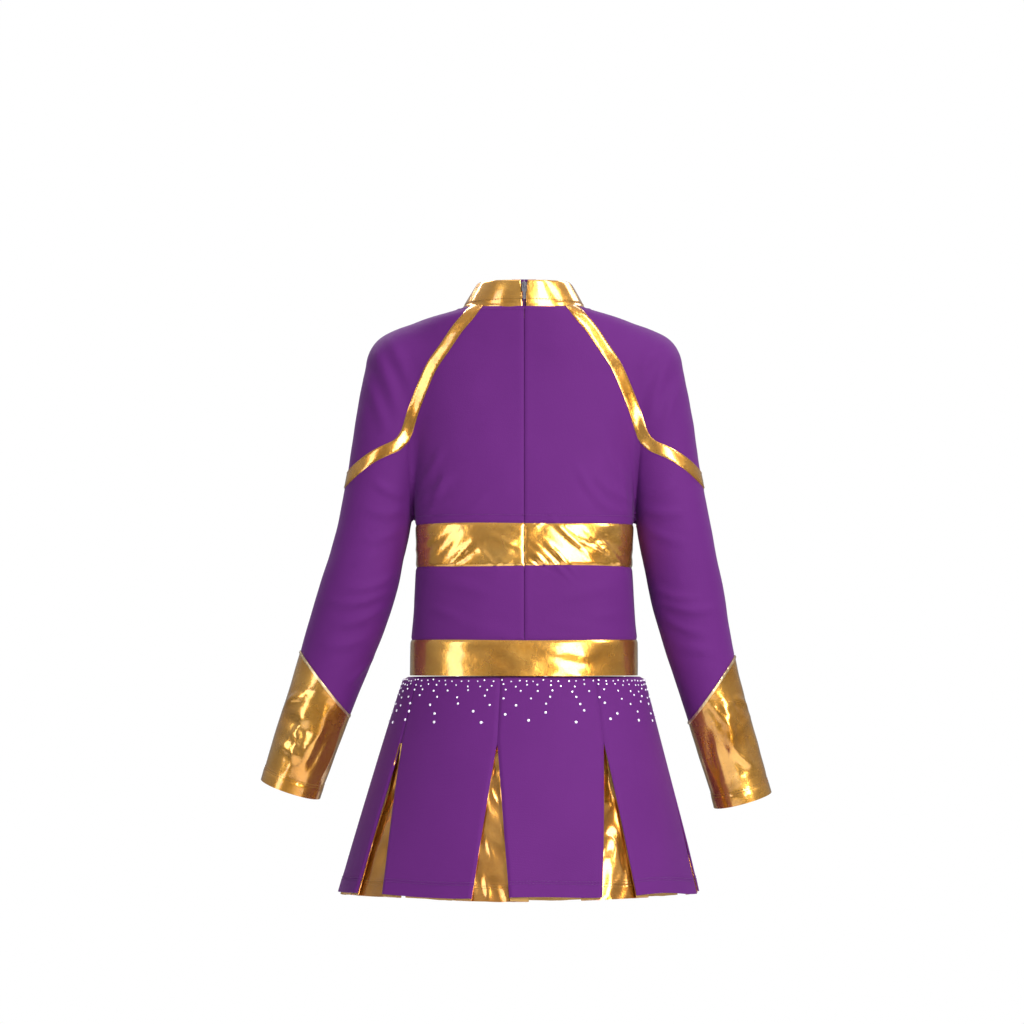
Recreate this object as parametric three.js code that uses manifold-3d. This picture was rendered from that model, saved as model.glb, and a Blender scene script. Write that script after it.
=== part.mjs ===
// A child's long-sleeved cheer dress: stand collar, raglan yokes edged with tape, slanted cuffs,
// two bands round the body, a skirt of eight panels with inserts in its pleats, and a back zip.
//
// Frame: millimetres, +Z up. The wearer faces -Y, so the zip is on the +Y side, and +X is the
// wearer's left. The origin is the centre of the neck opening, level with the collar seam.

import * as THREE from 'three';
import { mergeVertices } from 'three/addons/utils/BufferGeometryUtils.js';
import Module from 'manifold-3d';

const wasm = await Module();
wasm.setup();

// ---------------------------------------------------------------- driving dimensions

const CLOTH = 1.4; // thickness of the body cloth
const SEAM = 0.3; // clearance left along every seam

// Collar and neck
const COLLAR_HEIGHT = 24;
const COLLAR_CLOTH = 2; // two layers, turned over at the top edge
const NECK_HALF = 61; // half width of the neck opening at the collar seam
const NECK_BACK = 56; // from the origin to the centre back
const NECK_FRONT = 58;
const NECK_SQUARENESS = 2.3; // 2 is an ellipse, more is squarer
const COLLAR_TOP_HALF = 47;
const COLLAR_TOP_FRONT = 44;

// Body
const CHEST_HALF = 109; // half width of the body just below the arms
const CHEST_FRONT = 82; // depth forward of the origin at the chest
const BACK_LEAN = 0.06; // how far the straight centre back moves out for each mm down
const UPPER_BAND_DROP = 219; // collar seam to the top of the upper band
const BAND_HEIGHT = 42;
const MIDRIFF_HEIGHT = 72;
const WAISTBAND_HEIGHT = 35;
const WAIST_HALF = 113;

// Arms
const ARMPIT_DROP = 207;
const SLEEVE_RADIUS = 37.5;
const WRIST_RADIUS = 30.5;
const SHOULDER_DROP = 60; // collar seam to the centre of the rounded shoulder
const SLEEVE_DROP = 481; // collar seam to the middle of the cuff hem
const LEFT_SPREAD = 125; // from the side of the chest out to the middle of the left cuff hem
const RIGHT_SPREAD = 107;
const WRIST_FORWARD = 22;
const CUFF_LENGTH = 104; // along the sleeve, at the middle of the slanted seam
const CUFF_SLANT = 1.3; // rise over run of the slanted seam, seen from behind
const PIPING_WIDTH = 2.4;

// Raglan line and its tape
const TAPE_WIDTH = 11.5;
const RAGLAN_AT_NECK = 45; // from the centre back to the tape at the collar seam
const RAGLAN_CORNER_DROP = 138; // collar seam to where the tape turns out round the arm

// Skirt
const SKIRT_LENGTH = 207; // at the centre back
const FRONT_DIP = 35; // how much lower the hem hangs at the centre front
const SKIRT_STEP = 4; // how far the skirt stands out from the waistband
const HEM_HALF_WIDTH = 180;
const HEM_HALF_DEPTH = 146;
const PANELS = 8;
const FIRST_PLEAT = 79; // degrees round from +X to the first pleat
const PLEAT_STITCHED = 75; // closed length of each pleat below the waistband
const PLEAT_OPENING = 37; // width of each pleat at the hem
const INSERT_MARGIN = 5; // how far each insert reaches behind the panels
const INSERT_RECESS = 1.2; // clear space between a panel's lining and the insert

// Zip, measured in its own straight frame
const BACK_SLOT = 2.4; // space between the two back edges
const COLLAR_SLOT = 3.6;
const ZIP_CLEARANCE = 0.6; // between the collar's lining and the zip tape
const ZIP_TAPE_WIDTH = 11;
const ZIP_TAPE = 0.7;
const COIL_WIDTH = 1.7;
const COIL_DEPTH = 1.8;
const COIL_GAP = 0.9; // from the centre line to each coil
const SLIDER_LENGTH = 9;
const SLIDER_HEIGHT = 14; // slider centre above the collar seam, zip closed
const STOP_LENGTH = 2.5;
const PULL_LENGTH = 14;
const PULL_WIDTH = 4.8;

// Facets
const BODY_FACETS = 32;
const SLEEVE_FACETS = 16;

// ---------------------------------------------------------------- worked-out levels

const BAND_TOP = -UPPER_BAND_DROP;
const BAND_BOTTOM = BAND_TOP - BAND_HEIGHT;
const WAIST_TOP = BAND_BOTTOM - MIDRIFF_HEIGHT;
const WAIST_BOTTOM = WAIST_TOP - WAISTBAND_HEIGHT;

const backAt = (z) => NECK_BACK - BACK_LEAN * z;

// ---------------------------------------------------------------- materials

const finish = (color, roughness, metalness) =>
  new THREE.MeshStandardMaterial({ color, roughness, metalness });
const purpleKnit = () => finish(0x713282, 0.75, 0);
const goldKnit = () => finish(0xc8913a, 0.35, 0.55);
const palePiping = () => finish(0xe6d9c4, 0.5, 0.1);
const zipCloth = () => finish(0x5a2b6b, 0.8, 0);
const zipPlastic = () => finish(0x4e2660, 0.5, 0);
const zipMetal = () => finish(0xc9c9cc, 0.3, 0.9);

// ---------------------------------------------------------------- geometry helpers

// Joins shared corners and turns the faces outward.
function closed(geometry) {
  geometry.deleteAttribute('normal');
  geometry.deleteAttribute('uv');
  const merged = mergeVertices(geometry, 1e-4);
  const p = merged.attributes.position.array;
  const t = merged.index.array;
  let volume = 0;
  for (let i = 0; i < t.length; i += 3) {
    const [a, b, c] = [t[i] * 3, t[i + 1] * 3, t[i + 2] * 3];
    volume += p[a] * (p[b + 1] * p[c + 2] - p[b + 2] * p[c + 1]);
    volume += p[a + 1] * (p[b + 2] * p[c] - p[b] * p[c + 2]);
    volume += p[a + 2] * (p[b] * p[c + 1] - p[b + 1] * p[c]);
  }
  if (volume < 0) {
    for (let i = 0; i < t.length; i += 3) [t[i + 1], t[i + 2]] = [t[i + 2], t[i + 1]];
  }
  return merged;
}

function solid(geometry) {
  const merged = closed(geometry);
  const vertProperties = new Float32Array(merged.attributes.position.array);
  const triVerts = new Uint32Array(merged.index.array);
  return new wasm.Manifold(new wasm.Mesh({ numProp: 3, vertProperties, triVerts }));
}

function surface(manifold) {
  const mesh = manifold.getMesh();
  const geometry = new THREE.BufferGeometry();
  geometry.setAttribute('position', new THREE.BufferAttribute(mesh.vertProperties, 3));
  geometry.setIndex(new THREE.BufferAttribute(mesh.triVerts, 1));
  return geometry;
}

// A closed tube: place(angle, t) is a point on its wall, centre(t) the middle of each ring.
function tube(facets, rings, place, centre) {
  const geometry = new THREE.CylinderGeometry(1, 1, 1, facets, rings);
  const p = geometry.attributes.position;
  for (let i = 0; i < p.count; i++) {
    const t = 0.5 - p.getY(i);
    const radius = Math.hypot(p.getX(i), p.getZ(i));
    const angle = Math.atan2(p.getZ(i), p.getX(i));
    const point = radius > 0.5 ? place(angle, t) : centre(t);
    p.setXYZ(i, point.x, point.y, point.z);
  }
  return geometry;
}

// A closed sheet of cloth: place(u, v, w) with u across, v down and w through the thickness.
function sheet(across, down, place) {
  const geometry = new THREE.BoxGeometry(1, 1, 1, across, down, 1);
  const p = geometry.attributes.position;
  for (let i = 0; i < p.count; i++) {
    const point = place(p.getX(i) + 0.5, 0.5 - p.getY(i), p.getZ(i) + 0.5);
    p.setXYZ(i, point.x, point.y, point.z);
  }
  return closed(geometry);
}

function block(x0, x1, y0, y1, z0, z1) {
  const geometry = new THREE.BoxGeometry(x1 - x0, y1 - y0, z1 - z0);
  return geometry.translate((x0 + x1) / 2, (y0 + y1) / 2, (z0 + z1) / 2);
}

// Value of a curve given as rows of [level, value...], by straight lines between the rows.
function along(rows, level, column) {
  let i = 0;
  while (i < rows.length - 2 && level < rows[i + 1][0]) i++;
  const [from, to] = [rows[i], rows[i + 1]];
  const share = THREE.MathUtils.clamp((level - from[0]) / (to[0] - from[0]), 0, 1);
  return THREE.MathUtils.lerp(from[column], to[column], share);
}

// A line in the XZ plane moved sideways by a distance.
function moved(line, distance) {
  return line.map((point, i) => {
    const before = line[Math.max(i - 1, 0)];
    const after = line[Math.min(i + 1, line.length - 1)];
    const along2 = after.clone().sub(before).normalize();
    return new THREE.Vector2(point.x - along2.y * distance, point.y + along2.x * distance);
  });
}

// Everything between two sideways offsets of a line, right through the garment along Y.
function ribbon(line, near, far) {
  const outline = moved(line, near).concat(moved(line, far).reverse());
  const depth = 6 * CHEST_FRONT;
  const geometry = new THREE.ExtrudeGeometry(new THREE.Shape(outline), {
    depth,
    bevelEnabled: false,
  });
  geometry.rotateX(Math.PI / 2);
  return solid(geometry.translate(0, depth / 2, 0));
}

const mirrored = (line) => line.map((point) => new THREE.Vector2(-point.x, point.y));

// The loose piece of a cut shell that lies nearest to a point.
function nearest(pieces, point) {
  let [best, bestDistance] = [null, Infinity];
  for (const piece of pieces) {
    const p = piece.getMesh().vertProperties;
    for (let i = 0; i < p.length; i += 3) {
      const distance = point.distanceTo(new THREE.Vector3(p[i], p[i + 1], p[i + 2]));
      if (distance < bestDistance) [best, bestDistance] = [piece, distance];
    }
  }
  return best;
}

// ---------------------------------------------------------------- body and sleeve forms

// Rows of [level, half width, depth in front, squareness of the section].
const BODY_ROWS = [
  [0, NECK_HALF, NECK_FRONT, NECK_SQUARENESS],
  [-6, NECK_HALF + 19, NECK_FRONT + 1, 2.2],
  [-14, NECK_HALF + 41, NECK_FRONT + 3, 2.1],
  [-30, CHEST_HALF + 8, NECK_FRONT + 8, 2.2],
  [-SHOULDER_DROP, CHEST_HALF + 10, CHEST_FRONT - 9, 2.4],
  [-0.53 * ARMPIT_DROP, CHEST_HALF + 6, CHEST_FRONT - 2, 2.5],
  [-0.77 * ARMPIT_DROP, CHEST_HALF + 2, CHEST_FRONT, 2.5],
  [-ARMPIT_DROP, CHEST_HALF, CHEST_FRONT, 2.5],
  [BAND_BOTTOM, CHEST_HALF, CHEST_FRONT - 4, 2.4],
  [WAIST_TOP, WAIST_HALF, CHEST_FRONT - 7, 2.3],
  [WAIST_BOTTOM, WAIST_HALF + 3, CHEST_FRONT - 5, 2.3],
];

function bodyPoint(angle, z, inset) {
  const power = 2 / along(BODY_ROWS, z, 3);
  const back = Math.sin(angle) > 0;
  const depth = (back ? backAt(z) : along(BODY_ROWS, z, 2)) - inset;
  const width = along(BODY_ROWS, z, 1) - inset;
  const x = width * Math.sign(Math.cos(angle)) * Math.abs(Math.cos(angle)) ** power;
  const y = depth * Math.sign(Math.sin(angle)) * Math.abs(Math.sin(angle)) ** power;
  return new THREE.Vector3(x, y, z);
}

// The body form; the hollow one runs past both ends so that they are open.
function bodyForm(inset) {
  const over = inset > 0 ? 5 : 0;
  const levels = BODY_ROWS.map((row) => row[0] - (row[0] < 0 && row[0] > -40 ? inset : 0));
  levels.splice(BODY_ROWS.length - 2, 0, (BAND_BOTTOM + WAIST_TOP) / 2);
  if (over) {
    levels.unshift(over);
    levels.push(WAIST_BOTTOM - over);
  }
  const rings = levels.length - 1;
  const level = (t) => levels[Math.round(t * rings)];
  const place = (angle, t) => {
    const z = level(t);
    const shape = THREE.MathUtils.clamp(z + (z > -40 ? inset : 0), WAIST_BOTTOM, 0);
    return bodyPoint(angle, shape, inset).setZ(z);
  };
  const centre = (t) => new THREE.Vector3(0, 0, level(t));
  return solid(tube(BODY_FACETS, rings, place, centre));
}

// Middle line of a sleeve, from the shoulder to the cuff hem.
function sleeveLine(side, spread) {
  const x = (out) => side * (CHEST_HALF + out);
  const below = SLEEVE_DROP - ARMPIT_DROP;
  const points = [
    new THREE.Vector3(x(11), -4, -SHOULDER_DROP),
    new THREE.Vector3(x(26), -3, -0.68 * ARMPIT_DROP),
    new THREE.Vector3(x(39.5), -2, -ARMPIT_DROP),
    new THREE.Vector3(x(0.5 * spread), 1, -ARMPIT_DROP - 0.33 * below),
    new THREE.Vector3(x(0.7 * spread), -0.4 * WRIST_FORWARD, -ARMPIT_DROP - 0.6 * below),
    new THREE.Vector3(x(spread), -WRIST_FORWARD, -SLEEVE_DROP),
  ];
  return new THREE.CatmullRomCurve3(points, false, 'centripetal');
}

const SLEEVE_ROWS = [
  [0, SLEEVE_RADIUS + 0.5],
  [-0.6, SLEEVE_RADIUS],
  [-0.75, SLEEVE_RADIUS - 3.5],
  [-1, WRIST_RADIUS],
];

// A sleeve form: a rounded shoulder, then rings square to the middle line.
function sleeveForm(line, inset) {
  const [capRings, rings] = [3, 13];
  const over = inset > 0 ? 0.02 : 0;
  const frame = (t) => {
    const step = Math.round(t * rings);
    const s = step < capRings ? 0 : ((step - capRings) / (rings - capRings)) * (1 + over);
    const centre = line.getPointAt(Math.min(s, 1));
    const down = line.getTangentAt(Math.min(s, 1));
    if (s > 1) centre.addScaledVector(down, (s - 1) * line.getLength());
    let radius = along(SLEEVE_ROWS, -s, 1) - inset;
    if (step < capRings) {
      const lift = Math.PI / 2 - (step / capRings) * (Math.PI / 2);
      const cap = Math.max(Math.cos(lift), 0.08);
      centre.addScaledVector(down, -Math.sin(lift) * radius);
      radius *= cap;
    }
    return { centre, down, radius };
  };
  const place = (angle, t) => {
    const { centre, down, radius } = frame(t);
    const front = new THREE.Vector3(0, 1, 0).addScaledVector(down, -down.y).normalize();
    const across = new THREE.Vector3().crossVectors(down, front);
    return centre
      .addScaledVector(across, radius * Math.cos(angle))
      .addScaledVector(front, radius * Math.sin(angle));
  };
  return solid(tube(SLEEVE_FACETS, rings, place, (t) => frame(t).centre));
}

const sides = [
  { name: 'left', sign: 1, line: sleeveLine(1, LEFT_SPREAD) },
  { name: 'right', sign: -1, line: sleeveLine(-1, RIGHT_SPREAD) },
];

function garmentForm(inset) {
  return sides.reduce((form, side) => form.add(sleeveForm(side.line, inset)), bodyForm(inset));
}

const shell = garmentForm(0).subtract(garmentForm(CLOTH));

// ---------------------------------------------------------------- seam lines, seen from behind

// Down the raglan from above the collar seam, round the corner, and out past the sleeve.
function raglanLine() {
  const corner = new THREE.Vector2(CHEST_HALF + 9, -RAGLAN_CORNER_DROP);
  const neck = new THREE.Vector2(RAGLAN_AT_NECK, 0);
  const bow = (share, out) =>
    new THREE.Vector2().lerpVectors(neck, corner, share).add(new THREE.Vector2(out, out / 2));
  const upper = new THREE.SplineCurve([
    neck.clone().add(new THREE.Vector2(-6, 7)),
    neck,
    bow(0.25, 5),
    bow(0.5, 10),
    bow(0.75, 8),
    corner.clone().add(new THREE.Vector2(-4, 14)),
  ]);
  const turn = new THREE.QuadraticBezierCurve(
    corner.clone().add(new THREE.Vector2(-4, 14)),
    corner,
    corner.clone().add(new THREE.Vector2(18, -9)),
  );
  const end = corner.clone().add(new THREE.Vector2(3.2 * SLEEVE_RADIUS, -1.6 * SLEEVE_RADIUS));
  return [...upper.getPoints(8), ...turn.getPoints(4).slice(1), end];
}

const raglan = raglanLine();

// From the tape's corner down past the armpit, between body and sleeve.
const armhole = [
  new THREE.Vector2(CHEST_HALF + 9, -RAGLAN_CORNER_DROP),
  new THREE.Vector2(CHEST_HALF + 2.5, -ARMPIT_DROP + 12),
  new THREE.Vector2(CHEST_HALF + 1.2, -ARMPIT_DROP - 2),
  new THREE.Vector2(CHEST_HALF + 3, -ARMPIT_DROP - 30),
];

// ---------------------------------------------------------------- cutting the shell

const group = new THREE.Group();

function addPiece(name, geometry, material, parent = group) {
  const mesh = new THREE.Mesh(geometry, material);
  mesh.name = name;
  parent.add(mesh);
  return mesh;
}

const half = TAPE_WIDTH / 2;
let body = shell;
for (const side of sides) {
  const line = side.sign > 0 ? raglan : mirrored(raglan);
  const edge = side.sign > 0 ? armhole : mirrored(armhole);
  side.tape = shell.intersect(ribbon(line, -half, half));
  body = body.subtract(ribbon(line, -half - SEAM, half + SEAM));
  body = body.subtract(ribbon(edge, -SEAM / 2, SEAM / 2));
}
const panels = body.decompose();

for (const side of sides) {
  const out = side.sign;
  const shoulder = new THREE.Vector3(out * (CHEST_HALF - 9), 0, -22);
  const elbow = side.line.getPointAt(0.5).add(new THREE.Vector3(out * SLEEVE_RADIUS, 0, 0));
  addPiece(`yoke_${side.name}`, surface(nearest(panels, shoulder)), purpleKnit());
  addPiece(`shoulder_tape_${side.name}`, surface(side.tape), goldKnit());

  // The sleeve ends in a slanted seam with piping, then the cuff.
  const sleeve = nearest(panels, elbow);
  const along3 = 1 - CUFF_LENGTH / side.line.getLength();
  const middle = side.line.getPointAt(along3);
  const reach = 3 * SLEEVE_RADIUS;
  const seam = [
    new THREE.Vector2(middle.x + out * reach, middle.z + CUFF_SLANT * reach),
    new THREE.Vector2(middle.x - out * reach, middle.z - CUFF_SLANT * reach),
  ];
  const cord = PIPING_WIDTH / 2;
  const parts = sleeve.subtract(ribbon(seam, -cord - SEAM, cord + SEAM)).decompose();
  const hem = side.line.getPointAt(1);
  addPiece(`sleeve_${side.name}`, surface(nearest(parts, elbow)), purpleKnit());
  const piping = sleeve.intersect(ribbon(seam, -cord, cord));
  addPiece(`cuff_piping_${side.name}`, surface(piping), palePiping());
  addPiece(`cuff_${side.name}`, surface(nearest(parts, hem)), goldKnit());
}

// The trunk: cut at the bands, at the side seams and at the centre back.
const trunk = nearest(panels, bodyPoint(-Math.PI / 2, BAND_TOP, 0));
const wide = 2 * CHEST_HALF;
const level = (z) => solid(block(-wide, wide, -wide, wide, z - SEAM / 2, z + SEAM / 2));
const sideSeams = solid(block(-wide, wide, -SEAM / 2, SEAM / 2, WAIST_TOP, 5));
const slot = BACK_SLOT / 2;
const backSlot = solid(block(-slot, slot, 5, wide, WAIST_TOP, 5));
const cuts = [sideSeams, backSlot, level(BAND_TOP), level(BAND_BOTTOM), level(WAIST_TOP)];
const trunkPieces = cuts.reduce((form, cut) => form.subtract(cut), trunk).decompose();

const tiers = [
  { front: 'front_panel', back: 'back', z: 0.6 * BAND_TOP, material: purpleKnit },
  { front: 'upper_band_front', back: 'upper_band_back', z: BAND_TOP - BAND_HEIGHT / 2, material: goldKnit },
  { front: 'midriff_front', back: 'midriff_back', z: BAND_BOTTOM - MIDRIFF_HEIGHT / 2, material: purpleKnit },
];
for (const tier of tiers) {
  const front = nearest(trunkPieces, bodyPoint(-Math.PI / 2, tier.z, 0));
  addPiece(tier.front, surface(front), tier.material());
  for (const side of sides) {
    const angle = Math.PI / 2 - side.sign * 0.5;
    const back = nearest(trunkPieces, bodyPoint(angle, tier.z, 0));
    addPiece(`${tier.back}_${side.name}`, surface(back), tier.material());
  }
}
const waist = nearest(trunkPieces, bodyPoint(Math.PI / 2, WAIST_BOTTOM, 0));
addPiece('waistband', surface(waist), goldKnit());

// ---------------------------------------------------------------- collar

// A stand collar leaning in towards the neck, straight at the centre back for the zip.
function collarPoint(u, v, w) {
  const z = THREE.MathUtils.lerp(COLLAR_HEIGHT, SEAM, v);
  const share = z / COLLAR_HEIGHT;
  const inset = COLLAR_CLOTH * (1 - w);
  const width = THREE.MathUtils.lerp(NECK_HALF, COLLAR_TOP_HALF, share) - inset;
  const front = THREE.MathUtils.lerp(NECK_FRONT, COLLAR_TOP_FRONT, share) - inset;
  const start = Math.asin(COLLAR_SLOT / 2 / width);
  const margin = start ** (NECK_SQUARENESS / 2);
  const angle = Math.PI / 2 + margin + u * (2 * Math.PI - 2 * margin);
  const power = 2 / NECK_SQUARENESS;
  const depth = Math.sin(angle) > 0 ? backAt(z) - inset : front;
  const x = width * Math.sign(Math.cos(angle)) * Math.abs(Math.cos(angle)) ** power;
  const y = depth * Math.sign(Math.sin(angle)) * Math.abs(Math.sin(angle)) ** power;
  return new THREE.Vector3(x, y, z);
}
addPiece('collar', sheet(28, 1, collarPoint), goldKnit());

// ---------------------------------------------------------------- skirt

const waistBack = () => backAt(WAIST_BOTTOM) + SKIRT_STEP;
const waistFront = () => CHEST_FRONT - 5 + SKIRT_STEP;

// A point on the skirt: angle round the body, drop from 0 at the waist to 1 at the hem.
function skirtPoint(angle, drop, inset) {
  const forward = (1 - Math.sin(angle)) / 2;
  const length = SKIRT_LENGTH + FRONT_DIP * forward ** 2;
  const waistDepth = Math.sin(angle) > 0 ? waistBack() : waistFront();
  const flare = drop ** 0.95;
  const width = THREE.MathUtils.lerp(WAIST_HALF + 3 + SKIRT_STEP, HEM_HALF_WIDTH, flare) - inset;
  const depth = THREE.MathUtils.lerp(waistDepth, HEM_HALF_DEPTH, flare) - inset;
  const z = WAIST_BOTTOM - SEAM - drop * length;
  return new THREE.Vector3(width * Math.cos(angle), depth * Math.sin(angle), z);
}

// Angle taken by a length of cloth round the skirt.
function turnOf(length, angle, drop) {
  const step = 0.01;
  const here = skirtPoint(angle - step / 2, drop, 0);
  const there = skirtPoint(angle + step / 2, drop, 0);
  return (length * step) / Math.hypot(here.x - there.x, here.y - there.y);
}

// Pleats open from the end of their stitching to the hem.
const stitchedShare = PLEAT_STITCHED / SKIRT_LENGTH;
function opening(drop) {
  return (PLEAT_OPENING * Math.max(drop - stitchedShare, 0)) / (1 - stitchedShare);
}

// The pleats are evenly spaced along the hem.
const start = THREE.MathUtils.degToRad(FIRST_PLEAT);
const hem = new THREE.EllipseCurve(
  0, 0, HEM_HALF_WIDTH, HEM_HALF_DEPTH, start, start + 2 * Math.PI,
);
hem.arcLengthDivisions = 2000;
function pleatAngle(k) {
  const point = hem.getPointAt(k / PANELS);
  const angle = Math.atan2(point.y / HEM_HALF_DEPTH, point.x / HEM_HALF_WIDTH);
  return k > 0 && angle < start + 1e-3 ? angle + 2 * Math.PI : angle;
}

for (let k = 0; k < PANELS; k++) {
  const [from, to] = [pleatAngle(k), pleatAngle(k + 1)];
  const panel = sheet(4, 4, (u, v, w) => {
    const edge = (opening(v) + SEAM) / 2;
    const start = from + turnOf(edge, from, v);
    const end = to - turnOf(edge, to, v);
    return skirtPoint(THREE.MathUtils.lerp(start, end, u), v, CLOTH * (1 - w));
  });
  addPiece(`skirt_panel_${k + 1}`, panel, purpleKnit());
  const insert = sheet(3, 3, (u, v, w) => {
    const drop = THREE.MathUtils.lerp(stitchedShare - 0.04, 0.985, v);
    const reach = turnOf(opening(drop) / 2 + INSERT_MARGIN, from, drop);
    const inset = CLOTH + INSERT_RECESS + CLOTH * (1 - w);
    return skirtPoint(from + THREE.MathUtils.lerp(-reach, reach, u), drop, inset);
  });
  addPiece(`pleat_insert_${k + 1}`, insert, goldKnit());
}

// ---------------------------------------------------------------- zip

// Its own frame: origin on the face of the cloth at the collar seam, +Y out, -Z down the zip.
const zip = new THREE.Group();
zip.position.set(0, NECK_BACK, 0);
zip.rotation.x = Math.atan(BACK_LEAN);
group.add(zip);

const zipBottom = WAIST_TOP + 4;
const tapeTop = COLLAR_HEIGHT - 2;
const tapeReach = (COIL_GAP + ZIP_TAPE_WIDTH) / (COLLAR_TOP_HALF - COLLAR_CLOTH);
const collarBow = NECK_BACK * (1 - (1 - tapeReach ** NECK_SQUARENESS) ** (1 / NECK_SQUARENESS));
const tapeFace = -(COLLAR_CLOTH + collarBow + ZIP_CLEARANCE);
const tapeBack = tapeFace - ZIP_TAPE;
const coilFace = tapeBack - SEAM;
const coilBack = coilFace - COIL_DEPTH;
const coilEdge = COIL_GAP + COIL_WIDTH;
const sliderTop = SLIDER_HEIGHT + SLIDER_LENGTH / 2;
const sliderBottom = SLIDER_HEIGHT - SLIDER_LENGTH / 2;
const stopBottom = sliderTop + 0.5;

for (const { name, sign } of sides) {
  const strip = (x0, x1, y0, y1, z0, z1) =>
    closed(block(Math.min(sign * x0, sign * x1), Math.max(sign * x0, sign * x1), y0, y1, z0, z1));
  const tape = strip(COIL_GAP, COIL_GAP + ZIP_TAPE_WIDTH, tapeBack, tapeFace, zipBottom, tapeTop);
  addPiece(`zip_tape_${name}`, tape, zipCloth(), zip);
  const coilTop = stopBottom - SEAM;
  const coil = strip(COIL_GAP, coilEdge, coilBack, coilFace, zipBottom + 4, coilTop);
  addPiece(`zip_coil_${name}`, coil, zipPlastic(), zip);
  const stop = strip(COIL_GAP, coilEdge + 0.3, coilBack, coilFace, stopBottom, stopBottom + STOP_LENGTH);
  addPiece(`zip_top_stop_${name}`, stop, zipMetal(), zip);
}
const bottomStop = block(-coilEdge, coilEdge, coilBack, coilFace, zipBottom, zipBottom + 3.7);
addPiece('zip_bottom_stop', closed(bottomStop), zipMetal(), zip);

// Slider: a channel behind the coils, a neck through the slot, and a crown with a bridge outside.
const CROWN_BASE = 0.5;
const CROWN = 1.2;
const BRIDGE_HALF = 0.7;
const RUN = 0.5; // running clearance round the coils
const PIN = 0.9; // thickness of the pull tab's cross bar
const crownTop = CROWN_BASE + CROWN;
const bridgeInside = crownTop + PIN + 0.6;
const bridgeTop = bridgeInside + 0.8;
const plateBack = coilBack - RUN - 1;
const wall = coilEdge + RUN;
const sliderBlocks = [
  block(-wall - 1, wall + 1, plateBack, coilBack - RUN, sliderBottom, sliderTop),
  block(-wall - 1, -wall, coilBack - RUN - 0.5, tapeBack - RUN, sliderBottom, sliderTop),
  block(wall, wall + 1, coilBack - RUN - 0.5, tapeBack - RUN, sliderBottom, sliderTop),
  block(-COIL_GAP / 2, COIL_GAP / 2, coilBack - RUN - 0.5, crownTop - 0.5, sliderBottom + 1, sliderTop - 1),
  block(-PULL_WIDTH / 2, PULL_WIDTH / 2, CROWN_BASE, crownTop, sliderBottom, sliderTop),
];
const pinHeight = SLIDER_HEIGHT + 0.6;
const legs = [pinHeight - 1.8, pinHeight + 2.4];
for (const z of legs) {
  sliderBlocks.push(block(-BRIDGE_HALF, BRIDGE_HALF, crownTop - 0.5, bridgeTop, z, z + 1));
}
sliderBlocks.push(block(-BRIDGE_HALF, BRIDGE_HALF, bridgeInside, bridgeTop, legs[0], legs[1] + 1));
const slider = sliderBlocks.map(solid).reduce((form, next) => form.add(next));
addPiece('zip_slider', surface(slider), zipMetal(), zip);

// Pull tab: a flat tab whose top bar lies under the bridge, hanging straight down.
const pinOut = crownTop + (bridgeInside - crownTop) / 2;
const tabShape = new THREE.Shape();
const eyeTop = pinHeight + PIN / 2;
tabShape.moveTo(-PULL_WIDTH / 2, eyeTop);
tabShape.lineTo(-PULL_WIDTH / 2, eyeTop - 5.5);
tabShape.lineTo(-PULL_WIDTH / 4, eyeTop - 7);
tabShape.lineTo(-PULL_WIDTH / 3, eyeTop - PULL_LENGTH + 1.5);
tabShape.absarc(0, eyeTop - PULL_LENGTH + 1.5, PULL_WIDTH / 3, Math.PI, 2 * Math.PI, false);
tabShape.lineTo(PULL_WIDTH / 4, eyeTop - 7);
tabShape.lineTo(PULL_WIDTH / 2, eyeTop - 5.5);
tabShape.lineTo(PULL_WIDTH / 2, eyeTop);
tabShape.closePath();
const eyeHalf = PULL_WIDTH / 2 - 1;
const eye = new THREE.Path();
eye.moveTo(-eyeHalf, pinHeight - PIN / 2);
eye.lineTo(eyeHalf, pinHeight - PIN / 2);
eye.lineTo(eyeHalf, pinHeight - 4.3);
eye.lineTo(-eyeHalf, pinHeight - 4.3);
eye.closePath();
tabShape.holes.push(eye);
const tab = new THREE.ExtrudeGeometry(tabShape, { depth: PIN * 0.85, bevelEnabled: false, curveSegments: 6 });
tab.rotateX(Math.PI / 2);
tab.translate(0, pinOut + (PIN * 0.85) / 2, 0);
addPiece('zip_pull_tab', closed(tab), zipMetal(), zip);

export default group;
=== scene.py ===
# %% [markdown]
# # A child's cheer uniform
# The dress is a close-fitting knit top with long sleeves, a stand collar and a short pleated
# skirt. It is shown as a shop shows it: filled out, hanging from the neck, with nobody inside.
# The rigid model that comes with the frame fixes every size. Here each piece of cloth is made
# again, as thin cloth with folds, seams and stitches.

# %% Load the frame
import math
import random

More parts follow.
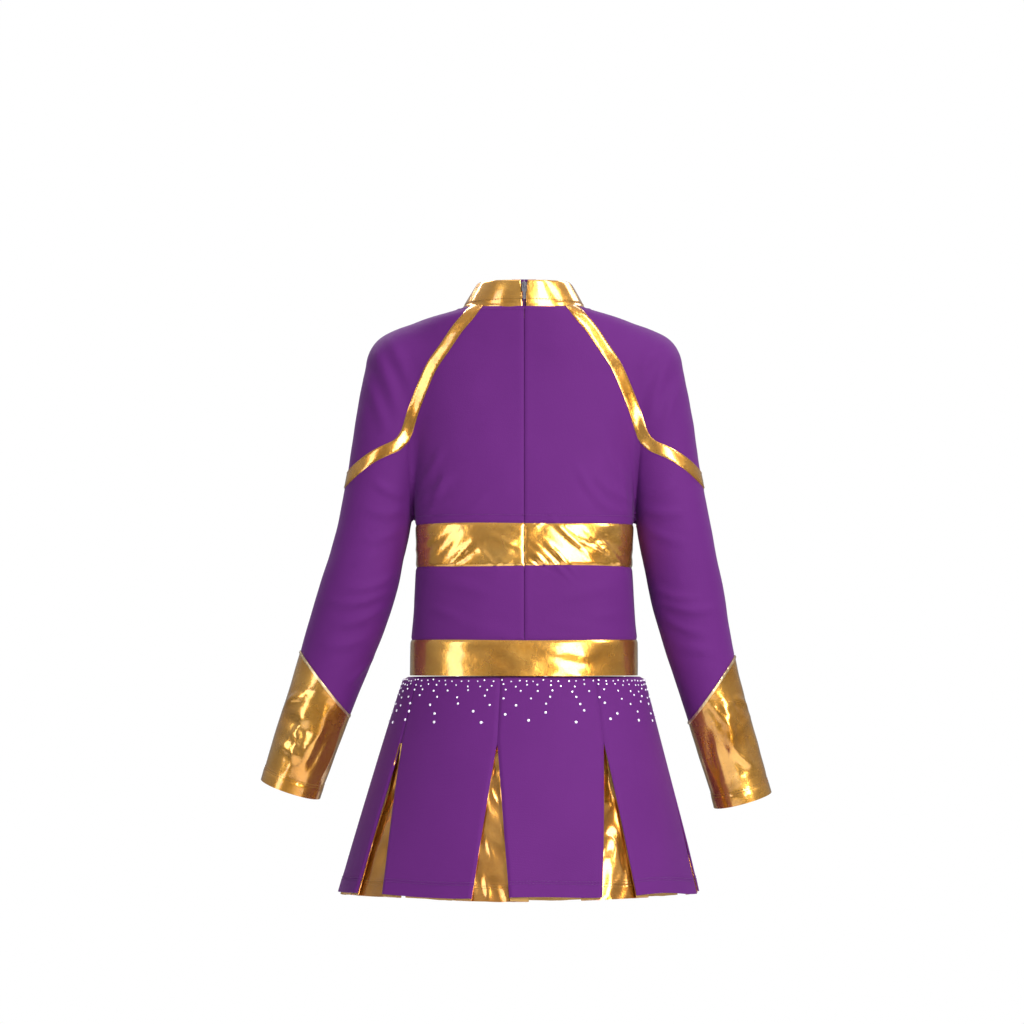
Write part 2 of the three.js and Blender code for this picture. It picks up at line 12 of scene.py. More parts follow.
import bpy
import numpy as np
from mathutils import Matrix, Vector


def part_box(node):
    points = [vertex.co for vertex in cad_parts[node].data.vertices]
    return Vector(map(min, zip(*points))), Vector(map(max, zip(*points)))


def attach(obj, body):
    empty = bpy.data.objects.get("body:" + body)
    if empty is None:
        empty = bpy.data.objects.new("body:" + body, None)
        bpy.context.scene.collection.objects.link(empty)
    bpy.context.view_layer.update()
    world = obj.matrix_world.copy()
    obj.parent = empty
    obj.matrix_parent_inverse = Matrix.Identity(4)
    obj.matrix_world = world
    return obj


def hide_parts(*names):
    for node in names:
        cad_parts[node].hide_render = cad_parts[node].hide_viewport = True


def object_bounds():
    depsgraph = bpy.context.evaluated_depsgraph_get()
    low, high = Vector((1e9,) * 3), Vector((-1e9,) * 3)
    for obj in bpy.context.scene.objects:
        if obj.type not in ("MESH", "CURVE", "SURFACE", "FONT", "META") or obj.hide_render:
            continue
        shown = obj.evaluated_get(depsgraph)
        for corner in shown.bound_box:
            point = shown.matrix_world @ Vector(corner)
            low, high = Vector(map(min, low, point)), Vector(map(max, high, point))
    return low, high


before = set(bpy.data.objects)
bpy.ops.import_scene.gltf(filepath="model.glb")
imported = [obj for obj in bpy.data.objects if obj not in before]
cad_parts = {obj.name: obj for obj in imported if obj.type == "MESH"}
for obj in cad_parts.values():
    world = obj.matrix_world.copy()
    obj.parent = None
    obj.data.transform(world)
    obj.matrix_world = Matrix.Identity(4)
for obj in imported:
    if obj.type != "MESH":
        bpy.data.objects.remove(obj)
cad_low, cad_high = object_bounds()
MM = 0.001
print("rigid model:", [round(v, 3) for v in cad_low], [round(v, 3) for v in cad_high])

# %% [markdown]
# The camera stands behind the dress at the height of the waist and looks up a little. A long
# lens from 2.6 m away keeps the proportions of the dress as the eye sees them.

# %% Camera
CAMERA_DISTANCE = 2.6
VIEW_WIDTH = 1.024
camera = bpy.data.objects.new("camera", bpy.data.cameras.new("camera"))
bpy.context.scene.collection.objects.link(camera)
camera.location = (0.012, CAMERA_DISTANCE, -0.345)
target = Vector((0.012, 0.0, -0.205))
camera.rotation_euler = (target - camera.location).to_track_quat("-Z", "Y").to_euler()
camera.data.sensor_width = 36
camera.data.lens = camera.data.sensor_width * (target - camera.location).length / VIEW_WIDTH
bpy.context.scene.camera = camera

# %% [markdown]
# Everything is placed from the rigid model. Its boxes give the levels of the seams, and the
# names below are used all through the script. Z is 0 at the collar seam, and the zip is at +Y.

# %% Levels and widths taken from the rigid model
collar_low, collar_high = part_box("collar")
band_low, band_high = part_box("upper_band_front")
waist_low, waist_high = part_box("waistband")
chest_half = band_high.x
band_top, band_bottom = band_high.z, band_low.z
waist_top, waist_bottom = waist_high.z, waist_low.z
neck_back = collar_high.y
back_lean = 0.06
print(f"chest {2 * chest_half:.3f} m wide, upper band {band_top:.3f} to {band_bottom:.3f} m")

# %% [markdown]
# ## The form under the cloth
# A knit top takes the shape of what fills it, so the first step is that shape: a trunk and two
# arms that flow into each other. It could be sculpted, or joined from tubes. Here it is a
# formula that tells how far a point is outside the surface, because a formula blends the arms
# into the trunk without a crease, and any point can be pulled back onto it later.

# %% Smooth curves down the body and down the arms
LEVELS = np.arange(-560, 40, 0.5) * MM


def smooth_curve(levels, values, spread=4.0):
    """Values in millimetres given at some levels, as one smooth curve over LEVELS, in metres."""
    order = np.argsort(levels)
    line = np.interp(LEVELS / MM, np.array(levels)[order], np.array(values)[order])
    reach = np.arange(-6 * int(spread), 6 * int(spread) + 1)
    kernel = np.exp(-0.5 * (reach / (2 * spread)) ** 2)
    padded = np.pad(line, len(reach) // 2, mode="edge")
    return np.convolve(padded, kernel / kernel.sum(), mode="valid")


def at(curve, z):
    """The value of a smooth curve at each level z, in metres."""
    return np.interp(z, LEVELS, curve)


chest = chest_half / MM
# Level, half width, depth in front, squareness of the section.
TRUNK = [
    (30, 44, 41, 2.2), (24, 47, 44, 2.3), (12, 54, 51, 2.3), (4, 58.5, 56, 2.3),
    (0, 61, 58, 2.3), (-3, 66, 59, 2.25), (-6, 77, 60, 2.2), (-9, 90, 61, 2.15),
    (-13, 102, 63, 2.1), (-20, 111, 66, 2.15), (-30, 116, 69, 2.2), (-45, 118, 72, 2.3),
    (-60, 118, 75, 2.4), (-110, 115, 81, 2.45), (-160, 111, 83, 2.45),
    (band_top / MM, chest, 82, 2.45), (band_bottom / MM, chest - 0.5, 79, 2.4),
    (-300, chest + 1, 76, 2.35), (waist_top / MM, chest + 3.5, 75, 2.3), (-560, chest + 5, 76, 2.3),
]
trunk_levels = [row[0] for row in TRUNK]
trunk_half = smooth_curve(trunk_levels, [row[1] for row in TRUNK], 1.5) * MM
trunk_front = smooth_curve(trunk_levels, [row[2] for row in TRUNK]) * MM
trunk_square = smooth_curve(trunk_levels, [row[3] for row in TRUNK])

# Level, how far out the middle of the sleeve is, how far forward, radius.
SLEEVES = {
    +1: [(-60, 120, 4, 38), (-97, 128, 4, 37.8), (-145, 136, 3, 37.2), (-193, 144.5, 2, 36.6),
         (-229, 151, 1, 36.5), (-265, 160, 0, 37.4), (-301, 171, 1, 37.8), (-337, 184, 4, 36),
         (-373, 196.5, 8, 33.8), (-421, 213.5, 14, 32.6), (-469, 230, 20, 31), (-520, 247, 24, 30)],
    -1: [(-60, 120, 4, 38), (-97, 128, 4, 37.8), (-145, 136, 3, 37.2), (-193, 144.5, 2, 37),
         (-229, 151, 1, 37), (-265, 158, 0, 36.6), (-301, 165.5, 1, 36), (-337, 174, 4, 33.5),
         (-373, 183.5, 8, 31.8), (-421, 197.5, 14, 30), (-469, 212.5, 20, 29.5), (-520, 227, 24, 29)],
}
sleeve_out, sleeve_forward, sleeve_radius = {}, {}, {}
for side, rows in SLEEVES.items():
    levels = [row[0] for row in rows]
    sleeve_out[side] = smooth_curve(levels, [side * row[1] for row in rows], 9.0) * MM
    sleeve_forward[side] = smooth_curve(levels, [-row[2] for row in rows], 9.0) * MM
    sleeve_radius[side] = smooth_curve(levels, [row[3] for row in rows], 9.0) * MM
SHOULDER_LEVEL = -60 * MM
SLEEVE_LEVEL = -510 * MM
blend_width = smooth_curve([0, -60, -120, -170, -205, -560], [26, 26, 18, 8, 3, 2], 8.0) * MM

# %% Distance outside the form


def trunk_field(p):
    """How far each point is outside the trunk; negative inside."""
    z = p[:, 2]
    square = at(trunk_square, z)
    back = neck_back - back_lean * z
    depth = np.where(p[:, 1] > 0, back, at(trunk_front, z))
    share = np.abs(p[:, 0] / at(trunk_half, z)) ** square + np.abs(p[:, 1] / depth) ** square
    ratio = np.maximum(share, 1e-9) ** (1 / square)
    return np.hypot(p[:, 0], p[:, 1]) * (1 - 1 / ratio)


def sleeve_middle(z, side):
    return np.stack([at(sleeve_out[side], z), at(sleeve_forward[side], z), z], 1)


def sleeve_level(p, side):
    """The level of the nearest point of the sleeve's middle line."""
    z = np.clip(p[:, 2], SLEEVE_LEVEL, SHOULDER_LEVEL)
    for _ in range(3):
        middle = sleeve_middle(z, side)
        slope = (sleeve_middle(z + MM, side) - middle) / MM
        step = ((p - middle) * slope).sum(1) / (slope**2).sum(1)
        z = np.clip(z + step, SLEEVE_LEVEL, SHOULDER_LEVEL)
    return z


def sleeve_field(p, side):
    """How far each point is outside a sleeve, which is a bent tube."""
    z = sleeve_level(p, side)
    return np.linalg.norm(p - sleeve_middle(z, side), axis=1) - at(sleeve_radius[side], z)


def blended(a, b, width):
    """The nearer of two surfaces, eased into each other over a width."""
    share = np.clip(0.5 + 0.5 * (b - a) / width, 0, 1)
    return b * (1 - share) + a * share - width * share * (1 - share)


def form_field(p):
    width = at(blend_width, p[:, 2])
    field = blended(trunk_field(p), sleeve_field(p, +1), width)
    return blended(field, sleeve_field(p, -1), width)


def slope_of(function, p, step=0.4 * MM):
    """How fast a function changes along X, Y and Z at each point."""
    parts = []
    for axis in range(3):
        shift = np.zeros(3)
        shift[axis] = step
        parts.append((function(p + shift) - function(p - shift)) / (2 * step))
    return np.stack(parts, 1)


def onto_form(p, rounds=3):
    """Pull points onto the form's surface, by its own slope."""
    for _ in range(rounds):
        slope = slope_of(form_field, p)
        p = p - slope * (form_field(p) / np.maximum((slope**2).sum(1), 1e-6))[:, None]
    return p


def form_normals(p):
    slope = slope_of(form_field, p)
    return slope / np.linalg.norm(slope, axis=1)[:, None]


# %% [markdown]
# The surface itself is found on a grid of small cubes. Each cube that the surface passes
# through gets one point, and points of neighbouring cubes are joined. A few rounds of
# averaging then even out the net, and each point is pulled back onto the form.

# %% A net of triangles over the form


def surface_net(field, low, high, step):
    """Points and four-sided faces over the surface where field is 0."""
    axes = [np.arange(low[i], high[i], step) for i in range(3)]
    grid = np.stack(np.meshgrid(*axes, indexing="ij"), -1)
    shape = grid.shape[:3]
    value = field(grid.reshape(-1, 3)).reshape(shape)
    cells = tuple(n - 1 for n in shape)
    total, count = np.zeros(cells + (3,)), np.zeros(cells)

    def corner(array, offset):
        return array[tuple(slice(o, o + n) for o, n in zip(offset, cells))]

    offsets = [(i, j, k) for i in (0, 1) for j in (0, 1) for k in (0, 1)]
    for a in offsets:
        for axis in range(3):
            if a[axis]:
                continue
            b = tuple(1 if i == axis else a[i] for i in range(3))
            va, vb = corner(value, a), corner(value, b)
            crossing = (va < 0) != (vb < 0)
            share = np.where(crossing, va / np.where(crossing, va - vb, 1), 0)[..., None]
            point = corner(grid, a) * (1 - share) + corner(grid, b) * share
            total += point * crossing[..., None]
            count += crossing
    used = count > 0
    number = np.full(cells, -1)
    number[used] = np.arange(used.sum())
    points = total[used] / count[used][:, None]
    faces = []
    for axis in range(3):
        u, v = (axis + 1) % 3, (axis + 2) % 3
        low_part = [slice(1, n - 1) for n in shape]
        low_part[axis] = slice(0, shape[axis] - 1)
        high_part = list(low_part)
        high_part[axis] = slice(1, shape[axis])
        inside, beyond = value[tuple(low_part)] < 0, value[tuple(high_part)] < 0
        index = np.argwhere(inside != beyond)
        forward = inside[tuple(index.T)]
        for i in (u, v):
            index[:, i] += 1
        ring = []
        for du, dv in ((0, 0), (-1, 0), (-1, -1), (0, -1)):
            cell = index.copy()
            cell[:, u] += du
            cell[:, v] += dv
            ring.append(number[tuple(cell.T)])
        quad = np.stack(ring, 1)
        quad[~forward] = quad[~forward][:, ::-1]
        faces.append(quad)
    quads = np.concatenate(faces)
    return points, quads[(quads >= 0).all(1)]


def relaxed(points, quads, rounds):
    """The same net with each point moved halfway to the mean of its neighbours, then back on."""
    edges = np.concatenate([quads[:, [i, (i + 1) % 4]] for i in range(4)])
    for _ in range(rounds):
        total, count = np.zeros_like(points), np.zeros(len(points))
        for a, b in ((0, 1), (1, 0)):
            np.add.at(total, edges[:, a], points[edges[:, b]])
            np.add.at(count, edges[:, a], 1)
        moved = 0.5 * points + 0.5 * total / np.maximum(count, 1)[:, None]
        points = onto_form(moved, 1)
    return points


NET_STEP = 3.2 * MM
net_low = (cad_low.x - 0.01, -0.105, -0.52)
net_high = (cad_high.x + 0.02, 0.105, 0.008)
points, quads = surface_net(form_field, net_low, net_high, NET_STEP)
points = relaxed(onto_form(points, 2), quads, 3)
faces = np.concatenate([quads[:, [0, 1, 2]], quads[:, [0, 2, 3]]])
print(f"form: {len(points)} points, {len(faces)} triangles")

# %% [markdown]
# ## Seam lines
# A pattern cutter draws the seams as lines on the form. Each line here is a function that is 0
# on the seam, positive on one side and negative on the other, and measures millimetres away
# from it. The raglan line comes down from the collar, turns at the corner and goes out round
# the arm. The armhole seam drops from that corner to the armpit.

# %% The lines, seen from behind


def run_along(path):
    """The distance along a path to each of its points."""
    return np.concatenate([[0], np.cumsum(np.linalg.norm(np.diff(path, axis=0), axis=1))])


def smooth_path(points, spacing=2.0, rounds=3):
    """A path through some points with its corners eased, as evenly spaced points."""
    points = np.array(points, float)
    for _ in range(rounds):
        length = run_along(points)
        even = np.linspace(0, length[-1], int(length[-1] / spacing) + 2)
        points = np.stack([np.interp(even, length, points[:, i]) for i in range(2)], 1)
        eased = points.copy()
        eased[2:-2] = (points[:-4] + points[1:-3] + points[2:-2] + points[3:-1] + points[4:]) / 5
        points = eased
    return points


def off_path(x, z, path):
    """Signed distance to a path in a plane, positive to its left."""
    best, sign = np.full(len(x), 1e9), np.ones(len(x))
    for (ax, az), (bx, bz) in zip(path[:-1], path[1:]):
        dx, dz = bx - ax, bz - az
        share = np.clip(((x - ax) * dx + (z - az) * dz) / (dx * dx + dz * dz), 0, 1)
        gap = np.hypot(x - ax - share * dx, z - az - share * dz)
        side = dx * (z - az) - dz * (x - ax)
        closer = gap < best
        best = np.where(closer, gap, best)
        sign = np.where(closer, np.sign(side), sign)
    return best * sign


RAGLAN = smooth_path([
    (39, 8), (45, 0), (54, -13), (65, -25), (73, -37), (81, -49), (90, -61), (96, -73), (101, -85),
    (106, -97), (110.5, -109), (114, -121), (118, -133), (125, -141), (138, -146), (152, -153),
    (165, -162), (177, -172), (200, -192),
])
ARMHOLE = smooth_path([(116, -128), (114.5, -150), (112.5, -180), (111.3, -205), (112.3, -240)])


# Measuring to a path is slow, so each line is measured once on a grid and looked up after that.
TABLE_X = np.arange(0, 300)
TABLE_Z = np.arange(-530, 31)


def path_table(path):
    x, z = np.meshgrid(TABLE_X, TABLE_Z, indexing="ij")
    return off_path(x.ravel().astype(float), z.ravel().astype(float), path).reshape(x.shape)


def looked_up(table, p):
    x = np.clip(np.abs(p[:, 0]) / MM, 0, TABLE_X[-1] - 0.001)
    z = np.clip(p[:, 2] / MM - TABLE_Z[0], 0, len(TABLE_Z) - 1.001)
    i, j = x.astype(int), z.astype(int)
    u, v = x - i, z - j
    low = table[i, j] * (1 - v) + table[i, j + 1] * v
    high = table[i + 1, j] * (1 - v) + table[i + 1, j + 1] * v
    return low * (1 - u) + high * u


raglan_table, armhole_table = path_table(RAGLAN), path_table(ARMHOLE)


def raglan_line(p):
    """Positive over the shoulder, negative on the body and sleeve."""
    return looked_up(raglan_table, p)


def armhole_line(p):
    """Positive on the sleeve, negative on the body."""
    return looked_up(armhole_table, p)


def level_line(level, sway=0.0):
    """Positive above a level seam, which may wander a little as sewn seams do."""
    return lambda p: (p[:, 2] - level) / MM - sway * np.sin(p[:, 0] / MM / 31 + 60 * level)


def cuff_line(side):
    """Positive on the cuff: the slanted seam is high on the outside of the arm."""
    outer = np.array([side * (0.220 if side > 0 else 0.211), -0.349])
    inner = np.array([side * (0.174 if side > 0 else 0.169), -0.409])
    along = (outer - inner) / np.linalg.norm(outer - inner)
    return lambda p: side * ((p[:, 0] - inner[0]) * along[1] - (p[:, 2] - inner[1]) * along[0]) / MM


def sleeve_end_line(side):
    """Positive beyond the cuff hem, which is square to the arm."""
    level = np.array([-0.4815 if side > 0 else -0.4925])
    middle = sleeve_middle(level, side)[0]
    down = middle - sleeve_middle(level + MM, side)[0]
    down /= np.linalg.norm(down)
    return lambda p: (p - middle) @ down / MM


TAPE_HALF = 5.7  # half the width of the gold tape, in millimetres
TAPE_EDGE = 1.2  # how far a panel runs on under the tape, in millimetres
PIPING_HALF = 1.1  # half the width of the piping above each cuff, in millimetres
NECK_DIP = 5.0  # how much lower the collar seam is at the centre back, in millimetres
ZIP_EDGE = 0.2  # from the centre back to each edge, in millimetres
above_band = level_line(band_top, 0.5)
above_midriff = level_line(band_bottom, 0.6)
above_waist = level_line(waist_top, 0.4)

# %% [markdown]
# Cutting along a line splits every triangle that it crosses, so each piece gets a clean edge.
# Extra cuts a millimetre or two beside each seam give the loops of points that let the cloth
# roll down into the seam.

# %% Cut the net along a line


def cut_along(points, faces, line, where=None, reach=0.45):
    """Split triangles where line is 0; where picks the triangles that may be split."""
    value = line(points)
    allowed = np.ones(len(faces), bool) if where is None else where(points[faces].mean(1))
    in_reach = np.zeros(len(points), bool)
    in_reach[faces[allowed]] = True
    near = np.flatnonzero(in_reach & (np.abs(value) < reach))
    if len(near):
        slope = slope_of(line, points[near])
        normal = form_normals(points[near])
        slope -= normal * (slope * normal).sum(1)[:, None]
        size = np.maximum((slope**2).sum(1), 1e-3)
        points[near] -= slope * (value[near] / size)[:, None]
        value[near] = 1e-7
    side = value >= 0
    edges = np.sort(faces[:, [[0, 1], [1, 2], [2, 0]]].reshape(-1, 2), 1)
    crossing = (side[edges[:, 0]] != side[edges[:, 1]]) & np.repeat(allowed, 3)
    on_line = np.abs(value) < 1e-6
    crossing &= ~(on_line[edges[:, 0]] | on_line[edges[:, 1]])
    key = edges[:, 0] * len(points) + edges[:, 1]
    cut_keys = np.unique(key[crossing])
    crossing = np.isin(key, cut_keys)
    a, b = cut_keys // len(points), cut_keys % len(points)
    share = (value[a] / (value[a] - value[b]))[:, None]
    added = points[a] * (1 - share) + points[b] * share
    middle = np.full(len(key), -1)
    middle[crossing] = len(points) + np.searchsorted(cut_keys, key[crossing])
    middle = middle.reshape(-1, 3)
    split = (middle >= 0).sum(1)
    kept = [faces[split == 0]]
    for turn in range(3):
        f, m = np.roll(faces, -turn, 1), np.roll(middle, -turn, 1)
        two = (split == 2) & (m[:, 0] >= 0) & (m[:, 2] >= 0)
        f2, m2 = f[two], m[two]
        kept.append(np.stack([f2[:, 0], m2[:, 0], m2[:, 2]], 1))
        kept.append(np.stack([m2[:, 0], f2[:, 1], f2[:, 2]], 1))
        kept.append(np.stack([m2[:, 0], f2[:, 2], m2[:, 2]], 1))
        one = (split == 1) & (m[:, 0] >= 0)
        f1, m1 = f[one], m[one]
        kept.append(np.stack([f1[:, 0], m1[:, 0], f1[:, 2]], 1))
        kept.append(np.stack([m1[:, 0], f1[:, 1], f1[:, 2]], 1))
    return np.concatenate([points, onto_form(added, 2)]), np.concatenate(kept)


def shifted(line, distance):
    return lambda p: line(p) - distance


def below_raglan(p):
    return raglan_line(p) < 0


def on_trunk(p):
    return (raglan_line(p) < 0) & (armhole_line(p) < 0)


def on_sleeve(p):
    return (raglan_line(p) < 0) & (armhole_line(p) > 0)


BESIDE_TAPE = (-9.0, -TAPE_HALF - 1.3, -TAPE_HALF, TAPE_EDGE - TAPE_HALF, -2.2,
               2.2, TAPE_HALF - TAPE_EDGE, TAPE_HALF, TAPE_HALF + 1.3, 9.0)
BESIDE_SEAM = (-3.0, -1.3, 0.0, 1.3, 3.0)
for distance in BESIDE_TAPE:
    points, faces = cut_along(points, faces, shifted(raglan_line, distance))
for distance in BESIDE_SEAM:
    points, faces = cut_along(points, faces, shifted(armhole_line, distance), below_raglan)
below_waist = level_line(waist_bottom)
for line in (above_band, above_midriff, above_waist, below_waist):
    for distance in BESIDE_SEAM:
        points, faces = cut_along(points, faces, shifted(line, distance), on_trunk)
for distance in (-3.4, -1.9, -ZIP_EDGE, ZIP_EDGE, 1.9, 3.4):
    line = shifted(lambda p: p[:, 0] / MM, distance)
    points, faces = cut_along(points, faces, line, lambda p: on_trunk(p) & (p[:, 1] > 0))
for distance in (-1.2, 0.0, 1.2):
    line = shifted(lambda p: p[:, 1] / MM, distance)
    points, faces = cut_along(points, faces, line, on_trunk)
for side in (+1, -1):
    here = lambda p, s=side: on_sleeve(p) & (s * p[:, 0] > 0)
    for distance in (-2.6, -PIPING_HALF, PIPING_HALF, 2.6):
        points, faces = cut_along(points, faces, shifted(cuff_line(side), distance), here)
    for distance in (-15.0, -13.6, -12.2, -2.0, 0.0):
        points, faces = cut_along(points, faces, shifted(sleeve_end_line(side), distance), here)


def neck_line(p):
    """Positive above the collar seam, which is a little lower at the centre back."""
    return p[:, 2] / MM + NECK_DIP * np.clip(p[:, 1] / neck_back, 0, 1) ** 2


for distance in (-2.5, -1.0, 0.0):
    points, faces = cut_along(points, faces, shifted(neck_line, distance))
normals = form_normals(points)
print(f"after cutting: {len(points)} points, {len(faces)} triangles")

# %% [markdown]
# ## Folds
# A knit top pulls into soft folds where the body bends: from the armpits, at the elbows, over
# the bands. Simulating them would need a body that moves, so each fold is listed as a short
# path on the form, with a width and a height, and the surface rises along it. Smaller
# creases in the foil cloth are scattered from a fixed seed.

# %% Lay folds on the form
FRONT, BACK = -1, 1


def form_depth(x, z, face):
    """How far back or forward the form's surface is at places seen from behind."""
    x, z = np.array(x, float), np.array(z, float)
    near, far = np.zeros_like(x), np.full_like(x, 0.13)
    near -= face * 0.012
    for _ in range(26):
        middle = (near + far) / 2
        outside = form_field(np.stack([x, face * middle, z], 1)) > 0
        far = np.where(outside, middle, far)
        near = np.where(outside, near, middle)
    return face * near


def fold(start, end, width, height, face=BACK, bend=0.0):
    """A fold from start to end, given in millimetres seen from behind; bend bows it sideways."""
    share = np.linspace(0, 1, 9)
    line = np.array(start) * (1 - share[:, None]) + np.array(end) * share[:, None]
    across = np.array([end[1] - start[1], start[0] - end[0]], float)
    across /= np.linalg.norm(across)
    line = line + across * (bend * np.sin(math.pi * share))[:, None]
    x, z = line[:, 0] * MM, line[:, 1] * MM
    path = np.stack([x, form_depth(x, z, face), z], 1)
    return path, width * MM, height * MM


def fold_height(p, path, width, height):
    """Height of one fold at each point, for the points that are near enough to feel it."""
    middle = path.mean(0)
    reach = np.linalg.norm(path - middle, axis=1).max() + 3 * width
    rise = np.zeros(len(p))
    near = np.flatnonzero(((p - middle) ** 2).sum(1) < reach**2)
    if not len(near):
        return rise
    q = p[near]
    best, where = np.full(len(q), 1e9), np.zeros(len(q))
    steps = len(path) - 1
    for i in range(steps):
        a, along = path[i], path[i + 1] - path[i]
        share = np.clip(((q - a) @ along) / (along @ along), 0, 1)
        gap = np.linalg.norm(q - a - share[:, None] * along, axis=1)
        closer = gap < best
        best = np.where(closer, gap, best)
        where = np.where(closer, (i + share) / steps, where)
    spread = (best / width) ** 2
    taper = np.sin(math.pi * np.clip(where, 0.02, 0.98)) ** 0.8
    rise[near] = height * taper * (1 - 0.9 * spread) * np.exp(-0.9 * spread)
    return rise


def waves(p, size, seed):
    """A smooth random swell, about 1 high, with hills about size across."""
    draw = np.random.default_rng(seed)
    total = np.zeros(len(p))
    for _ in range(10):
        direction = draw.normal(size=3)
        direction *= draw.uniform(0.6, 1.5) * math.pi / (np.linalg.norm(direction) * size)
        total += np.sin(p @ direction + draw.uniform(0, 2 * math.pi))
    return total / 3.2


# Each row: where the fold starts and ends, its width and height, its face and its bend.
FOLDS_OF_BOTH_SIDES = [
    # From the top of the shoulder down towards the corner of the tape.
    ((150, -44), (123, -118), 9, 2.6, BACK, 4), ((137, -30), (112, -92), 8, 1.5, BACK, 3),
    ((160, -70), (136, -132), 8, 1.8, BACK, 3), ((146, -44), (122, -118), 9, 2.2, FRONT, 4),
    ((158, -74), (134, -130), 8, 1.6, FRONT, 3),
    # Drag lines from the armpit across the back and chest.
    ((106, -196), (66, -168), 7, 2.0, BACK, -4), ((107, -208), (72, -196), 6, 1.5, BACK, -3),
    ((105, -182), (80, -142), 6, 1.4, BACK, -3), ((106, -194), (62, -164), 7, 1.9, FRONT, -4),
    ((107, -207), (70, -190), 6, 1.5, FRONT, -3),
    # From the armpit into the upper sleeve.
    ((116, -190), (150, -176), 6, 2.0, BACK, 3), ((117, -204), (158, -206), 6, 2.2, BACK, 3),
    ((120, -222), (160, -236), 6, 1.6, BACK, 3), ((117, -202), (156, -202), 6, 2.0, FRONT, 3),
]
FOLDS = [
    # Left elbow and forearm.
    ((128, -268), (176, -284), 6, 2.4, BACK, 5), ((132, -283), (196, -296), 6, 2.8, BACK, 6),
    ((137, -300), (190, -318), 6, 2.0, BACK, 5), ((150, -330), (205, -338), 7, 1.5, BACK, 4),
    ((128, -276), (184, -286), 6, 2.6, FRONT, 5), ((140, -296), (198, -312), 6, 2.4, FRONT, 5),
    ((150, -350), (176, -380), 6, 1.4, BACK, 0), ((143, -246), (170, -262), 6, 1.2, BACK, 0),
    # Right elbow and forearm.
    ((-128, -282), (-176, -292), 6, 2.2, BACK, -4), ((-131, -294), (-190, -302), 6, 2.8, BACK, -5),
    ((-138, -310), (-180, -326), 6, 1.8, BACK, -4), ((-146, -338), (-192, -346), 7, 1.4, BACK, 0),
    ((-128, -288), (-184, -296), 6, 2.6, FRONT, -5), ((-140, -306), (-184, -320), 6, 2.2, FRONT, -5),
    # Drag lines above the upper band.
    ((77, -166), (95, -208), 6, 1.6, BACK, 3), ((-50, -160), (-84, -208), 6, 1.7, BACK, -3),
    ((30, -180), (64, -214), 7, 0.9, BACK, 3), ((-96, -170), (-100, -210), 6, 1.2, BACK, 0),
    # Long soft folds of the midriff, across the small of the back.
    ((90, -276), (30, -290), 8, 1.0, BACK, 3), ((-92, -282), (-36, -296), 8, 1.1, BACK, -3),
    ((70, -318), (10, -326), 8, 0.7, BACK, 0), ((-80, -322), (-24, -318), 8, 0.7, BACK, 0),
    ((96, -300), (60, -312), 6, 0.9, BACK, 0), ((-98, -306), (-62, -312), 6, 0.9, BACK, 0),
    # Deep folds of the foil cuffs, from the slanted seam down towards the hem, left then right.
    ((194, -395), (227, -466), 7.5, 3.2, BACK, 3), ((238, -396), (213, -389), 4.5, 2.6, BACK, 3),
    ((241, -408), (212, -430), 8.0, -2.4, BACK, 3), ((246, -436), (222, -452), 6.0, 1.8, BACK, 3),
    ((184, -418), (206, -474), 5.0, 1.6, BACK, 3), ((204, -374), (228, -450), 6.5, 2.4, FRONT, 3),
    ((190, -404), (214, -468), 6, 2.2, FRONT, 3), ((222, -410), (236, -470), 5, 1.8, BACK, 3),
    ((224, -380), (246, -460), 6, 1.8, FRONT, 3),
    ((-201, -388), (-208, -446), 7.5, 2.8, BACK, -3), ((-206, -433), (-230, -460), 6.0, 2.4, BACK, -3),
    ((-223, -401), (-206, -391), 4.0, 2.4, BACK, -3), ((-183, -416), (-192, -470), 6.0, -2.0, BACK, -3),
    ((-222, -420), (-232, -446), 6.0, -1.6, BACK, -3), ((-194, -374), (-214, -450), 6.5, 2.4, FRONT, -3),
    ((-180, -408), (-200, -470), 6, 2.2, FRONT, -3), ((-204, -416), (-214, -476), 5, 1.8, BACK, -3),
    ((-208, -384), (-230, -462), 6, 1.8, FRONT, -3),
]
folds = []
for side in (+1, -1):
    for (x1, z1), (x2, z2), width, rise, face, bend in FOLDS_OF_BOTH_SIDES:
        folds.append(fold((side * x1, z1), (side * x2, z2), width, rise, face, bend * side))
folds += [fold(*row) for row in FOLDS]

draw = random.Random(11)
creases = []


def scatter_creases(count, x_range, z_range, length, width, height, tilt):
    """Small creases at random places; most lean as pulled cloth does, up towards the middle."""
    for _ in range(count):
        x, z = draw.uniform(*x_range), draw.uniform(*z_range)
        long, lean = draw.uniform(*length) / 2, math.radians(draw.uniform(*tilt))
        lean *= (-1 if x > 0 else 1) * draw.choice((1, 1, 1, -1))
        dx, dz = long * math.cos(lean), long * math.sin(lean)
        rise = draw.uniform(*height) * draw.choice((-0.7, 1))
        face = draw.choice((BACK, BACK, FRONT))
        creases.append(fold((x - dx, z - dz), (x + dx, z + dz), draw.uniform(*width), rise, face))


band_range = (band_bottom / MM + 4, band_top / MM - 4)
scatter_creases(46, (-95, 95), band_range, (28, 70), (2.4, 4.6), (0.7, 1.6), (22, 52))
waist_range = (waist_bottom / MM + 5, waist_top / MM - 5)
scatter_creases(22, (-98, 98), waist_range, (30, 80), (5, 9), (0.3, 0.9), (0, 25))
scatter_creases(12, (200, 240), (-464, -384), (26, 56), (2.2, 3.6), (0.4, 1.0), (30, 78))
scatter_creases(12, (-222, -188), (-470, -388), (26, 56), (2.2, 3.6), (0.4, 1.0), (30, 78))


